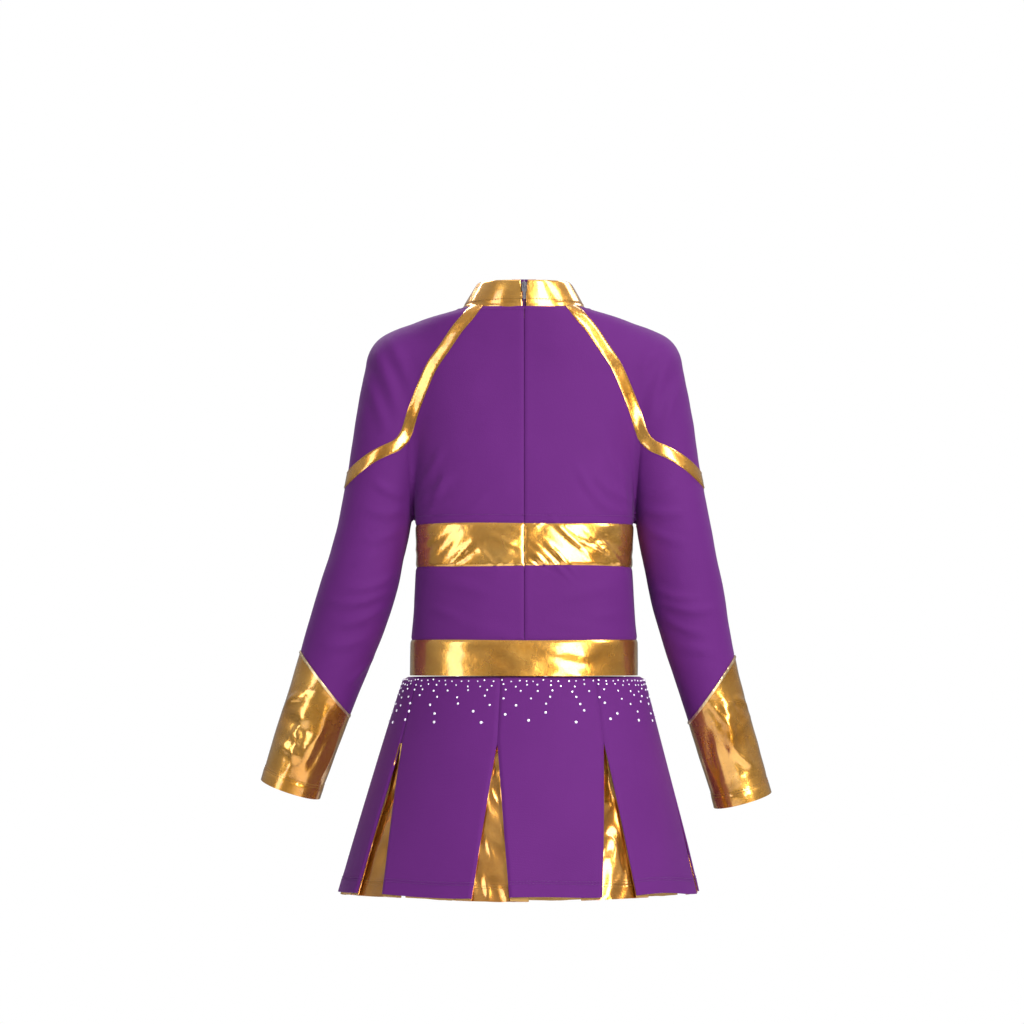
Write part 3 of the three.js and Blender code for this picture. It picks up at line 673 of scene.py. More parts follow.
def relief(p):
    """How far the cloth stands off the form, in metres."""
    rise = 0.5 * MM * waves(p, 0.055, 1) + 0.18 * MM * waves(p, 0.018, 2)
    for path, width, height in folds + creases:
        rise += fold_height(p, path, width, height)
    # The centre back stays straight for the zip, and the collar seam and the waist stay true.
    beside_zip = np.where(p[:, 1] > 0, 1 - np.exp(-((p[:, 0] / 0.011) ** 2)), 1)
    below_collar = 1 - np.exp(-((p[:, 2] / 0.012) ** 2))
    return rise * beside_zip * below_collar


height = relief(points)
print(f"{len(folds)} folds and {len(creases)} creases, up to {height.max() / MM:.1f} mm high")

# %% [markdown]
# ## Finishes
# The purple cloth is a matt polyester knit: thousands of tiny loops that scatter light and glow
# a little at grazing angles. The gold cloth is the same knit with a metal foil printed on it,
# under a clear film, so it reflects like crumpled brass and crackles where it has stretched.
# Two effects serve many finishes, and each is built once as a node group: the knit's loops,
# and an uneven tone.

# %% Node group: knit loops


def new_group(name, inputs, outputs):
    group = bpy.data.node_groups.new(name, "ShaderNodeTree")
    for label, kind, value in inputs:
        socket = group.interface.new_socket(label, in_out="INPUT", socket_type=kind)
        if value is not None:
            socket.default_value = value
    for label, kind in outputs:
        group.interface.new_socket(label, in_out="OUTPUT", socket_type=kind)
    return group, group.nodes.new("NodeGroupInput"), group.nodes.new("NodeGroupOutput")


def scaled_by(group, vector, factor):
    node = group.nodes.new("ShaderNodeVectorMath")
    node.operation = "SCALE"
    group.links.new(vector, node.inputs[0])
    group.links.new(factor, node.inputs["Scale"])
    return node.outputs[0]


def build_knit():
    """Loops in upright columns: Height for a bump, Gap for the dark between the loops."""
    group, entry, end = new_group(
        "knit loops",
        [("Vector", "NodeSocketVector", None), ("Loops per metre", "NodeSocketFloat", 1500.0),
         ("Stretch", "NodeSocketFloat", 0.55)],
        [("Height", "NodeSocketFloat"), ("Gap", "NodeSocketFloat")],
    )
    flatten = group.nodes.new("ShaderNodeCombineXYZ")
    flatten.inputs["X"].default_value = flatten.inputs["Y"].default_value = 1.0
    group.links.new(entry.outputs["Stretch"], flatten.inputs["Z"])
    stretched = group.nodes.new("ShaderNodeVectorMath")
    stretched.operation = "MULTIPLY"
    group.links.new(entry.outputs["Vector"], stretched.inputs[0])
    group.links.new(flatten.outputs[0], stretched.inputs[1])
    place = scaled_by(group, stretched.outputs[0], entry.outputs["Loops per metre"])
    loops = group.nodes.new("ShaderNodeTexVoronoi")
    loops.feature = "SMOOTH_F1"
    loops.inputs["Scale"].default_value = 1.0
    loops.inputs["Randomness"].default_value = 0.45
    group.links.new(place, loops.inputs["Vector"])
    rise = group.nodes.new("ShaderNodeMapRange")
    rise.inputs["From Max"].default_value = 0.8
    rise.inputs["To Min"].default_value, rise.inputs["To Max"].default_value = 1.0, 0.0
    group.links.new(loops.outputs["Distance"], rise.inputs["Value"])
    group.links.new(rise.outputs[0], end.inputs["Height"])
    group.links.new(loops.outputs["Distance"], end.inputs["Gap"])
    return group


def build_tone():
    """An uneven tone: broad patches with a finer grain in them, from 0 to 1."""
    group, entry, end = new_group(
        "uneven tone",
        [("Vector", "NodeSocketVector", None), ("Patches per metre", "NodeSocketFloat", 14.0),
         ("Grain per metre", "NodeSocketFloat", 600.0), ("Grain share", "NodeSocketFloat", 0.3)],
        [("Tone", "NodeSocketFloat"), ("Grain", "NodeSocketFloat")],
    )
    made = []
    for label in ("Patches per metre", "Grain per metre"):
        noise = group.nodes.new("ShaderNodeTexNoise")
        noise.inputs["Detail"].default_value = 3.0
        group.links.new(entry.outputs["Vector"], noise.inputs["Vector"])
        group.links.new(entry.outputs[label], noise.inputs["Scale"])
        made.append(noise.outputs["Fac"])
    mix = group.nodes.new("ShaderNodeMix")
    group.links.new(entry.outputs["Grain share"], mix.inputs["Factor"])
    group.links.new(made[0], mix.inputs["A"])
    group.links.new(made[1], mix.inputs["B"])
    group.links.new(mix.outputs["Result"], end.inputs["Tone"])
    group.links.new(made[1], end.inputs["Grain"])
    return group


KNIT, TONE = build_knit(), build_tone()

# %% A finish from these groups


def ranged(tree, value, low, high, from_low=0.3, from_high=0.7):
    node = tree.nodes.new("ShaderNodeMapRange")
    node.inputs["From Min"].default_value = from_low
    node.inputs["From Max"].default_value = from_high
    node.inputs["To Min"].default_value, node.inputs["To Max"].default_value = low, high
    tree.links.new(value, node.inputs["Value"])
    return node.outputs[0]


def mixed(tree, value, dark, light):
    node = tree.nodes.new("ShaderNodeMix")
    node.data_type = "RGBA"
    node.inputs["A"].default_value = (*dark, 1)
    node.inputs["B"].default_value = (*light, 1)
    tree.links.new(value, node.inputs["Factor"])
    return node.outputs["Result"]


def placed(tree, group, vector, **values):
    node = tree.nodes.new("ShaderNodeGroup")
    node.node_tree = group
    tree.links.new(vector, node.inputs["Vector"])
    for label, value in values.items():
        node.inputs[label.replace("_", " ")].default_value = value
    return node


def summed(tree, parts):
    """Heights added up, each with its own weight."""
    total = None
    for value, weight in parts:
        node = tree.nodes.new("ShaderNodeMath")
        node.operation = "MULTIPLY_ADD"
        node.inputs[1].default_value = weight
        node.inputs[2].default_value = 0.0
        tree.links.new(value, node.inputs[0])
        if total is not None:
            tree.links.new(total, node.inputs[2])
        total = node.outputs[0]
    return total


def new_finish(name):
    material = bpy.data.materials.new(name)
    material.use_nodes = True
    tree = material.node_tree
    where = tree.nodes.new("ShaderNodeTexCoord").outputs["Object"]
    return material, tree, tree.nodes["Principled BSDF"], where


def bumped(tree, shader, height, distance):
    bump = tree.nodes.new("ShaderNodeBump")
    bump.inputs["Strength"].default_value = 1.0
    bump.inputs["Distance"].default_value = distance
    tree.links.new(height, bump.inputs["Height"])
    tree.links.new(bump.outputs["Normal"], shader.inputs["Normal"])


def matt_knit(name, dark, light, loops=1500.0, sheen=0.25):
    """Plain knitted or woven cloth, between a dark and a light tone of its colour."""
    material, tree, shader, where = new_finish(name)
    knit = placed(tree, KNIT, where, Loops_per_metre=loops)
    tone = placed(tree, TONE, where, Patches_per_metre=9.0, Grain_per_metre=900.0, Grain_share=0.35)
    colour = mixed(tree, ranged(tree, tone.outputs["Tone"], 0, 1), dark, light)
    tree.links.new(colour, shader.inputs["Base Color"])
    rough = ranged(tree, tone.outputs["Grain"], 0.68, 0.84)
    tree.links.new(rough, shader.inputs["Roughness"])
    shader.inputs["Sheen Weight"].default_value = sheen
    shader.inputs["Sheen Roughness"].default_value = 0.4
    shader.inputs["Sheen Tint"].default_value = (0.80, 0.70, 0.90, 1)
    shader.inputs["Specular IOR Level"].default_value = 0.16
    height = summed(tree, [(knit.outputs["Height"], 1.0), (tone.outputs["Grain"], 0.5)])
    bumped(tree, shader, height, 0.00012)
    return material


def foil_knit(name, dark, light, smooth, rough):
    """Metal foil over a knit; smooth and rough are the limits of its roughness."""
    material, tree, shader, where = new_finish(name)
    knit = placed(tree, KNIT, where, Loops_per_metre=1300.0)
    tone = placed(tree, TONE, where, Patches_per_metre=26.0, Grain_per_metre=420.0, Grain_share=0.25)
    fine = placed(tree, TONE, where, Patches_per_metre=42.0, Grain_per_metre=240.0, Grain_share=0.10)
    colour = mixed(tree, ranged(tree, tone.outputs["Tone"], 0, 1), dark, light)
    tree.links.new(colour, shader.inputs["Base Color"])
    wear = ranged(tree, fine.outputs["Tone"], smooth, rough)
    tree.links.new(wear, shader.inputs["Roughness"])
    metal = ranged(tree, knit.outputs["Gap"], 0.90, 0.66, 0.35, 0.75)
    tree.links.new(metal, shader.inputs["Metallic"])
    shader.inputs["Coat Weight"].default_value = 1.0
    shader.inputs["Coat Roughness"].default_value = 0.10
    shader.inputs["Coat IOR"].default_value = 1.7
    height = summed(tree, [(fine.outputs["Tone"], 1.0), (knit.outputs["Height"], 0.04)])
    bumped(tree, shader, height, 0.0009)
    return material


PURPLE = matt_knit("purple knit", (0.098, 0.0118, 0.143), (0.113, 0.0150, 0.163), sheen=0.08)
PURPLE_INSIDE = matt_knit("purple knit, wrong side", (0.095, 0.018, 0.130), (0.115, 0.022, 0.155))
GOLD = foil_knit("gold foil knit", (0.70, 0.28, 0.014), (0.92, 0.49, 0.095), 0.20, 0.31)
# The pleat inserts get a darker copy of the gold foil: painted shade for the inside of the pleats, on the
# same foil cloth.
GOLD_WITH_PAINTED_SHADE = foil_knit("gold foil knit with painted shade, in the pleats", (0.58, 0.21, 0.010), (0.86, 0.42, 0.075), 0.18, 0.28)
GOLD_INSIDE = matt_knit("gold knit, wrong side", (0.42, 0.24, 0.07), (0.52, 0.31, 0.10))
PIPING = foil_knit("pale piping", (0.80, 0.56, 0.28), (0.92, 0.72, 0.42), 0.30, 0.45)
GOLD_THREAD = matt_knit("gold thread", (0.20, 0.095, 0.012), (0.30, 0.15, 0.02), loops=5000.0)
PURPLE_THREAD = matt_knit("purple thread", (0.10, 0.02, 0.15), (0.14, 0.03, 0.20), loops=5000.0)
ZIP_CLOTH = matt_knit("woven zip tape", (0.085, 0.02, 0.12), (0.115, 0.028, 0.16), loops=2400.0)


def bright_metal(name, dark, light, smooth, rough):
    material, tree, shader, where = new_finish(name)
    tone = placed(tree, TONE, where, Patches_per_metre=300.0, Grain_per_metre=2500.0, Grain_share=0.4)
    colour = mixed(tree, ranged(tree, tone.outputs["Tone"], 0, 1), dark, light)
    tree.links.new(colour, shader.inputs["Base Color"])
    tree.links.new(ranged(tree, tone.outputs["Grain"], smooth, rough), shader.inputs["Roughness"])
    shader.inputs["Metallic"].default_value = 1.0
    bumped(tree, shader, tone.outputs["Tone"], 0.00004)
    return material


ZIP_METAL = bright_metal("zip metal", (0.34, 0.32, 0.36), (0.50, 0.48, 0.52), 0.18, 0.32)
ZIP_COIL = bright_metal("zip coil", (0.07, 0.02, 0.11), (0.10, 0.03, 0.15), 0.35, 0.5)
ZIP_COIL.node_tree.nodes["Principled BSDF"].inputs["Metallic"].default_value = 0.0
CRYSTAL_WITH_PAINTED_GLOW = bright_metal("foil-backed crystal with painted glow", (0.86, 0.81, 0.97), (0.97, 0.94, 1.0), 0.06, 0.16)
crystal_shader = CRYSTAL_WITH_PAINTED_GLOW.node_tree.nodes["Principled BSDF"]
crystal_shader.inputs["Coat Weight"].default_value = 1.0
crystal_shader.inputs["Metallic"].default_value = 0.5
# The stones are given a faint emission: a painted glow that stands in for light sparkling in their facets.
crystal_shader.inputs["Emission Color"].default_value = (0.85, 0.80, 1.0, 1)
crystal_shader.inputs["Emission Strength"].default_value = 0.30

# %% [markdown]
# ## Panels
# Each panel takes the triangles between its seams. The outer face is lifted along the form's
# normal by the folds, the inner face lies one cloth thickness inside it, and a rim joins them,
# so every panel is a closed piece of cloth. Near a seam both neighbours roll down into it.

# %% Make a panel
CLOTH = 0.9 * MM


def add_mesh(name, verts, polygons, materials, indices=None, crease_angle=50):
    mesh = bpy.data.meshes.new(name)
    mesh.from_pydata([tuple(v) for v in verts], [], [tuple(int(i) for i in f) for f in polygons])
    for material in materials:
        mesh.materials.append(material)
    if indices is not None:
        mesh.polygons.foreach_set("material_index", np.array(indices, dtype=np.int32))
    mesh.validate()
    mesh.shade_smooth()
    mesh.set_sharp_from_angle(angle=math.radians(crease_angle))
    piece = bpy.data.objects.new(name, mesh)
    bpy.context.scene.collection.objects.link(piece)
    return piece


def surface_area(verts, triangles):
    a, b, c = (verts[triangles[:, i]] for i in range(3))
    return float(np.linalg.norm(np.cross(b - a, c - a), axis=1).sum() / 2)


def double_sided(outer, inner, triangles):
    """Vertices and faces of a closed sheet, and how many faces are outside, inside and rim."""
    n = len(outer)
    edges = np.concatenate([triangles[:, [0, 1]], triangles[:, [1, 2]], triangles[:, [2, 0]]])
    key = edges[:, 0].astype(np.int64) * n + edges[:, 1]
    back = edges[:, 1].astype(np.int64) * n + edges[:, 0]
    border = edges[~np.isin(key, back)]
    rim = np.stack([border[:, 1], border[:, 0], border[:, 0] + n, border[:, 1] + n], 1)
    polygons = [*triangles, *(triangles[:, ::-1] + n), *rim]
    counts = (len(triangles), len(triangles), len(rim))
    return np.concatenate([outer, inner]), polygons, counts


def settle(piece, slot_name, *nodes):
    """Every piece of the dress moves with it; nodes are the rigid ones that it takes over."""
    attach(piece, "dress")
    if nodes:
        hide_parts(*nodes)


def settle_sheet(piece, slot_name, node):
    settle(piece, slot_name, node)


def flat_size(verts, area):
    """A cutting rectangle for a shaped piece: its height, and a width to match its area."""
    spread = verts - verts.mean(0)
    directions = np.linalg.eigh(spread.T @ spread)[1]
    extent = spread @ directions
    length = float(np.ptp(extent[:, 2]))
    width = max(float(np.ptp(extent[:, 1])), area / length * 1.02)
    return width, length


def sleeve_girth(side, level):
    """The length round a sleeve at a level, given in millimetres."""
    return 2 * math.pi * float(at(sleeve_radius[side], np.array([level * MM]))[0])


def smallest(p, lines):
    return np.min([np.abs(line(p)) for line in lines], axis=0)


def panel(name, region, seams, faced, lined, slot_name, lift=None, roll=0.9,
          strip=None, girth=None, trim=False):
    """Cloth over the triangles where region is true; seams are the lines it rolls down to.
    strip is the width of a piece that is cut as a strip, and girth the width of a tube that
    is slit and laid flat. A trim is a thin cord sewn into a seam, which isn't a sheet."""
    chosen = faces[region(points[faces].mean(1))]
    used, triangles = np.unique(chosen, return_inverse=True)
    triangles = triangles.reshape(-1, 3)
    p, n = points[used], normals[used]
    rise = height[used].copy()
    if lift is not None:
        rise += lift(p)
    if seams:
        rise -= roll * MM * np.exp(-((smallest(p, seams) / 1.5) ** 2))
    outer = p + n * rise[:, None]
    inner = outer - n * CLOTH
    verts, polygons, counts = double_sided(outer, inner, triangles)
    indices = [0] * counts[0] + [1] * counts[1] + [0] * counts[2]
    piece = add_mesh(name, verts, polygons, [faced, lined], indices)
    node = name.replace("cloth_", "")
    if trim:
        settle(piece, slot_name, node)
        return
    area = surface_area((outer + inner) / 2, triangles)
    flat = flat_size(outer, area)
    if strip:
        flat = (strip, area / strip * 1.01)
    if girth:
        flat = (girth, flat[1])
    settle_sheet(piece, slot_name, node)


# %% [markdown]
# The top is cut as the real one is: two yokes, two tapes sewn over their edges, two back panels
# on either side of the zip, a front, two sleeves, and bands and midriff panels below. The tape
# stands on top of the panels, which run on a little way beneath it.

# %% Panels of the top
zip_left = shifted(lambda p: np.where(p[:, 1] > 0, p[:, 0] / MM, 99), ZIP_EDGE)
zip_right = shifted(lambda p: np.where(p[:, 1] > 0, p[:, 0] / MM, -99), -ZIP_EDGE)
in_neck = lambda p: neck_line(p) < 0


def under_tape(p):
    """Press the cloth down where the tape lies on it."""
    return np.where(np.abs(raglan_line(p)) < TAPE_HALF - 0.2, -0.7 * MM, 0.0)


def yoke_region(side):
    return lambda p: (raglan_line(p) > TAPE_HALF - TAPE_EDGE) & (side * p[:, 0] > 0) & in_neck(p)


def tape_region(side):
    return lambda p: (np.abs(raglan_line(p)) < TAPE_HALF) & (side * p[:, 0] > 0) & in_neck(p)


def below_tape(p):
    return (raglan_line(p) < TAPE_EDGE - TAPE_HALF) & in_neck(p)


def trunk_region(low, high, where):
    def inside(p):
        held = below_tape(p) & (armhole_line(p) < 0) & where(p)
        return held & (low(p) > 0 if low else True) & (high(p) < 0 if high else True)
    return inside


BEYOND = 1000.0  # farther than any piece reaches, in millimetres


def sleeve_region(side, low, high):
    """The part of a sleeve between two distances below its slanted cuff seam."""
    def inside(p):
        along = cuff_line(side)(p)
        here = below_tape(p) & (armhole_line(p) > 0) & (side * p[:, 0] > 0)
        return here & (along > low) & (along < high) & (sleeve_end_line(side)(p) < 0)
    return inside


def tape_lift(p):
    across = np.abs(raglan_line(p)) / TAPE_HALF
    return (0.85 - 0.55 * np.clip(across, 0, 1) ** 6) * MM


def piping_lift(side):
    return lambda p: 1.5 * MM * np.sqrt(np.clip(1 - (cuff_line(side)(p) / 1.35) ** 2, 0, 1)) - 0.2 * MM


def cuff_lift(side):
    """The cuff hem is turned up and stitched, so it is thicker, with a dip along the stitches."""
    def lift(p):
        up = -sleeve_end_line(side)(p)
        doubled = 0.8 / (1 + np.exp(np.clip((up - 13.6) * 2.5, -30, 30)))
        stitched = 0.6 * np.exp(-(((up - 12.4) / 1.1) ** 2))
        return (doubled - stitched + 0.2) * MM
    return lift


for side, word in ((+1, "left"), (-1, "right")):
    panel(f"cloth_yoke_{word}", yoke_region(side), [neck_line], PURPLE, PURPLE_INSIDE, "purple_knit",
          under_tape)
    panel(f"cloth_shoulder_tape_{word}", tape_region(side), [], GOLD, GOLD_INSIDE, "gold_knit", tape_lift,
          strip=2 * TAPE_HALF * MM)
    back_seams = [armhole_line, above_band, zip_left if side > 0 else zip_right, neck_line]
    back = lambda p, s=side: (p[:, 1] > 0) & (s * p[:, 0] / MM > ZIP_EDGE)
    panel(f"cloth_back_{word}", trunk_region(above_band, None, back), back_seams, PURPLE, PURPLE_INSIDE,
          "purple_knit", under_tape)
    zip_edge = zip_left if side > 0 else zip_right
    panel(f"cloth_upper_band_back_{word}", trunk_region(above_midriff, above_band, back),
          [above_band, above_midriff, zip_edge], GOLD, GOLD_INSIDE, "gold_knit", lambda p: 0.3 * MM,
          strip=band_top - band_bottom)
    panel(f"cloth_midriff_back_{word}", trunk_region(above_waist, above_midriff, back),
          [above_midriff, above_waist, zip_edge], PURPLE, PURPLE_INSIDE, "purple_knit",
          strip=band_bottom - waist_top)
    panel(f"cloth_sleeve_{word}", sleeve_region(side, -BEYOND, -PIPING_HALF), [armhole_line, cuff_line(side)],
          PURPLE, PURPLE_INSIDE, "purple_knit", under_tape, roll=0.7, girth=sleeve_girth(side, -193))
    panel(f"cloth_cuff_{word}", sleeve_region(side, PIPING_HALF, BEYOND), [], GOLD, GOLD_INSIDE, "gold_knit",
          cuff_lift(side), girth=sleeve_girth(side, -373))
    panel(f"cloth_cuff_piping_{word}", sleeve_region(side, -PIPING_HALF, PIPING_HALF), [],
          PIPING, PIPING, "piping", piping_lift(side), trim=True)

front = lambda p: p[:, 1] < 0
panel("cloth_front_panel", trunk_region(above_band, None, front), [armhole_line, above_band, neck_line],
      PURPLE, PURPLE_INSIDE, "purple_knit", under_tape)
panel("cloth_upper_band_front", trunk_region(above_midriff, above_band, front), [above_band, above_midriff],
      GOLD, GOLD_INSIDE, "gold_knit", lambda p: 0.3 * MM, strip=band_top - band_bottom)
panel("cloth_midriff_front", trunk_region(above_waist, above_midriff, front), [above_midriff, above_waist],
      PURPLE, PURPLE_INSIDE, "purple_knit", strip=band_bottom - waist_top)
panel("cloth_waistband", trunk_region(below_waist, above_waist, lambda p: p[:, 2] < 0), [above_waist],
      GOLD, GOLD_INSIDE, "gold_knit", lambda p: 0.6 * MM, strip=waist_top - waist_bottom)

# %% [markdown]
# ## Collar
# The stand collar is a strip of foil cloth folded double, so its top edge is a soft roll. It
# leans in towards the neck at the sides and the front, stays upright over the zip, and opens in
# a narrow V at the centre back, where its ends roll round to the inside.

# %% Collar
collar_height = collar_high.z - collar_low.z
COLLAR_HALF = 1.0 * MM  # half the thickness of the doubled cloth
INSIDE_POINTS = 14  # of the section, on its inner face
COLLAR_TOP = (47 / 61, 44 / 58)  # how much narrower the top is, at the sides and in front
neck_half, neck_front = collar_high.x - COLLAR_HALF, -collar_low.y - COLLAR_HALF


def neck_ring(share, count=721):
    """The collar's middle at a share of its height, from the centre back and all the way round."""
    half = neck_half * (1 + (COLLAR_TOP[0] - 1) * share)
    front_depth = neck_front * (1 + (COLLAR_TOP[1] - 1) * share)
    back_depth = neck_back - COLLAR_HALF - back_lean * share * collar_height
    turn = np.linspace(0, 2 * math.pi, count)
    x = np.sign(np.sin(turn)) * np.abs(np.sin(turn)) ** (2 / 2.3)
    y = np.sign(np.cos(turn)) * np.abs(np.cos(turn)) ** (2 / 2.3)
    ring = np.stack([half * x, np.where(y > 0, back_depth, front_depth) * y], 1)
    return ring, run_along(ring)


def collar_section():
    """Round the doubled cloth: share of the height, how far out from the middle, for each point."""
    outside = [(up, 1 + 0.35 * math.sin(math.pi * up)) for up in np.linspace(-0.10, 0.93, 20)]
    rolled = [(0.93 + 0.07 * math.sin(a), math.cos(a)) for a in np.linspace(0.25, math.pi - 0.25, 9)]
    inside = [(up, -1.0) for up in np.linspace(0.93, -0.10, INSIDE_POINTS)]
    return outside + rolled + inside


def slot_half(share):
    return np.interp(share, [0, 0.55, 1], [2.1, 1.7, 3.6]) * MM


def ring_directions(middle):
    """Along a ring of places and outwards from it, both level."""
    heading = np.gradient(middle, axis=0)
    outward = np.stack([-heading[:, 1], heading[:, 0]], 1)
    outward /= np.linalg.norm(outward, axis=1)[:, None]
    return heading, outward * np.sign((outward * middle).sum(1).mean())


section = collar_section()
columns = np.unique(np.concatenate([np.linspace(0, 0.012, 7), np.linspace(0.012, 0.988, 300),
                                    np.linspace(0.988, 1, 7)]))
rings = []
for share, out in section:
    ring, length = neck_ring(max(share, 0))
    gap = slot_half(max(share, 0))
    along = gap + (length[-1] - 2 * gap) * columns
    middle = np.stack([np.interp(along, length, ring[:, i]) for i in (0, 1)], 1)
    heading, outward = ring_directions(middle)
    to_end = np.minimum(along - gap, length[-1] - gap - along) / (1.1 * MM)
    rounded = np.sqrt(np.clip(1 - (1 - np.clip(to_end, 0, 1)) ** 2, 0, 1))
    here = np.concatenate([middle, np.full((len(middle), 1), share * collar_height)], 1)
    pucker = waves(here * np.array([1, 1, 0.35]), 0.011, 81) * 0.30 + waves(here, 0.034, 82) * 0.45
    pinch = 0.45 * math.exp(-(((share * collar_height / MM - 2.4) / 0.8) ** 2))
    rise = out * COLLAR_HALF * rounded + (pucker - (pinch if out > 0 else 0)) * MM * rounded
    here[:, :2] += outward * rise[:, None]
    dip = NECK_DIP * (1 - 0.5 * share) * np.clip(middle[:, 1] / neck_back, 0, 1) ** 2
    here[:, 2] -= (dip + 0.25) * MM
    rings.append(here)
rings = np.array(rings)
count, across = rings.shape[:2]
index = np.arange(count * across).reshape(count, across)
following = np.roll(index, -1, 0)
polygons = np.stack([index[:, :-1], following[:, :-1], following[:, 1:], index[:, 1:]], -1).reshape(-1, 4)
faced = np.arange(count) < len(section) - INSIDE_POINTS
indices = np.repeat(np.where(faced, 0, 1), across - 1)
collar = add_mesh("cloth_collar", rings.reshape(-1, 3), polygons[:, ::-1], [GOLD, GOLD_INSIDE], indices)
collar_length = float(neck_ring(0)[1][-1])
collar_width = 1.1 * collar_height  # with what is sewn in below the seam
flat = (collar_width, collar_length)
settle_sheet(collar, "gold_knit", "collar")

# %% [markdown]
# ## Skirt
# The skirt flares from the waistband to the hem and is made of eight panels. Between them are
# inverted pleats: the purple edges meet along a stitched line, and below it they part and show
# a gold insert that folds back behind them. The panels follow an oval that widens on its way
# down, and the pleats are evenly spaced along the hem.

# %% The skirt's form
corners = [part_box(f"skirt_panel_{k}") for k in range(1, 9)]
PANELS = len(corners)
HEM_WIDTH = max(high.x for low, high in corners)
HEM_DEPTH = max(high.y for low, high in corners)
HEM_BACK = max(low.z for low, high in corners)
HEM_FRONT = min(low.z for low, high in corners)
SKIRT_TOP = max(high.z for low, high in corners)
WAIST_WIDTH = waist_high.x + 3.5 * MM
WAIST_DEPTH = waist_high.y + 3.5 * MM
FRONT_DIP = 0.72 * (HEM_BACK - HEM_FRONT)  # the hem hangs lower in front
PLEAT_STITCHED = 0.305  # share of the length that is stitched shut
PLEAT_OPENING = 36 * MM
FIRST_PLEAT = math.radians(79.5)
PLEAT_TURN = 0.18
SIDE_PLEAT_FORWARD = math.radians(7)  # the pleat at the right side is dragged forward


def skirt_form(angle, drop):
    """A point of the skirt's oval: angle round the body, drop 0 at the waist and 1 at the hem.
    Between the two the pleats hang straighter than the oval flares, so they turn a little."""
    angle = angle - PLEAT_TURN * (1 - drop) * np.sin(2 * angle) * np.abs(np.cos(angle))
    forward = (1 - np.sin(angle)) / 2
    length = (SKIRT_TOP - HEM_BACK) + FRONT_DIP * forward**2
    flare = np.maximum(drop, 0) ** 0.96
    width = WAIST_WIDTH + (HEM_WIDTH - 1.5 * MM - WAIST_WIDTH) * flare
    depth = WAIST_DEPTH + (HEM_DEPTH - 1.5 * MM - WAIST_DEPTH) * flare
    swing = 7 * MM * drop * np.cos(angle) ** 2  # the sides hang a little to one side
    return np.stack([width * np.cos(angle) + swing, depth * np.sin(angle), SKIRT_TOP - drop * length], -1)


def skirt_normal(angle, drop):
    step = 1e-3
    round_it = skirt_form(angle + step, drop) - skirt_form(angle - step, drop)
    down_it = skirt_form(angle, drop + step) - skirt_form(angle, np.maximum(drop - step, 0))
    normal = np.cross(down_it, round_it)
    return normal / np.linalg.norm(normal, axis=-1)[..., None]


def turn_of(length, angle, drop):
    """The angle that a length of cloth takes up round the oval."""
    step = 0.01
    gap = skirt_form(angle + step / 2, drop) - skirt_form(angle - step / 2, drop)
    return length * step / np.hypot(gap[..., 0], gap[..., 1])


def pleat_angles():
    turn = np.linspace(FIRST_PLEAT, FIRST_PLEAT + 2 * math.pi, 4001)
    oval = np.stack([HEM_WIDTH * np.cos(turn), HEM_DEPTH * np.sin(turn)], 1)
    length = run_along(oval)
    return np.interp(np.linspace(0, length[-1], PANELS + 1), length, turn)


def half_opening(drop):
    opened = np.clip((drop - PLEAT_STITCHED) / (1 - PLEAT_STITCHED), 0, None)
    return PLEAT_OPENING / 2 * opened**0.97


pleats = pleat_angles()
pleats[2] += SIDE_PLEAT_FORWARD
print("pleats at", [round(math.degrees(a)) for a in pleats[:-1]], "degrees")

# %% Folds of the skirt


def share_across(angle, drop):
    """How far across its panel a place is, from 0 to 1; a pleat's opening counts as the edge."""
    turn = np.mod(angle - pleats[0], 2 * math.pi)
    starts = pleats - pleats[0]
    k = np.clip(np.searchsorted(starts, turn, "right") - 1, 0, PANELS - 1)
    start = starts[k] + turn_of(half_opening(drop), pleats[k], drop)
    end = starts[k + 1] - turn_of(half_opening(drop), pleats[k + 1], drop)
    return np.clip((turn - start) / (end - start), 0, 1)


def skirt_relief(angle, drop):
    """How far the skirt stands off the oval, in panels and pleats alike."""
    share = share_across(angle, drop)
    loose = np.clip(drop - 0.12, 0, None) ** 1.4
    where = skirt_form(angle, drop)
    flat = where.reshape(-1, 3)
    swell = waves(flat * np.array([1, 1, 0.22]), 0.075, 21).reshape(drop.shape)
    small = waves(flat * np.array([1, 1, 0.35]), 0.030, 22).reshape(drop.shape)
    kick = 2.2 * np.abs(2 * share - 1) ** 3 - 1.0 * (1 - (2 * share - 1) ** 2)
    return (2.6 * swell * loose + 0.5 * small * loose + kick * loose) * MM


# %% [markdown]
# Panels and inserts are grids: rows run down the skirt and columns run across it. A helper
# turns a grid of points and their normals into a closed sheet of cloth.

# %% Cloth from a grid


def cloth_grid(name, middle, normal, thickness, materials):
    """A closed sheet round a grid of points, and the area of its middle."""
    rows, columns = middle.shape[:2]
    index = np.arange(rows * columns).reshape(rows, columns)
    a, b, c, d = index[:-1, :-1], index[:-1, 1:], index[1:, 1:], index[1:, :-1]
    triangles = np.concatenate([
        np.stack([a.ravel(), d.ravel(), c.ravel()], 1), np.stack([a.ravel(), c.ravel(), b.ravel()], 1),
    ])
    flat, out = middle.reshape(-1, 3), normal.reshape(-1, 3)
    first, second, third = (flat[triangles[:, i]] for i in range(3))
    if (np.cross(second - first, third - first) * out[triangles[:, 0]]).sum() < 0:
        triangles = triangles[:, ::-1]
    outer, inner = flat + out * thickness / 2, flat - out * thickness / 2
    verts, polygons, counts = double_sided(outer, inner, triangles)
    indices = [0] * counts[0] + [1] * counts[1] + [0] * counts[2]
    return add_mesh(name, verts, polygons, materials, indices), surface_area(flat, triangles)


def grid_normals(middle):
    """Normals of a grid of points, from its own slopes."""
    down, across = np.gradient(middle, axis=0), np.gradient(middle, axis=1)
    normal = np.cross(down, across)
    return normal / np.maximum(np.linalg.norm(normal, axis=-1), 1e-12)[..., None]


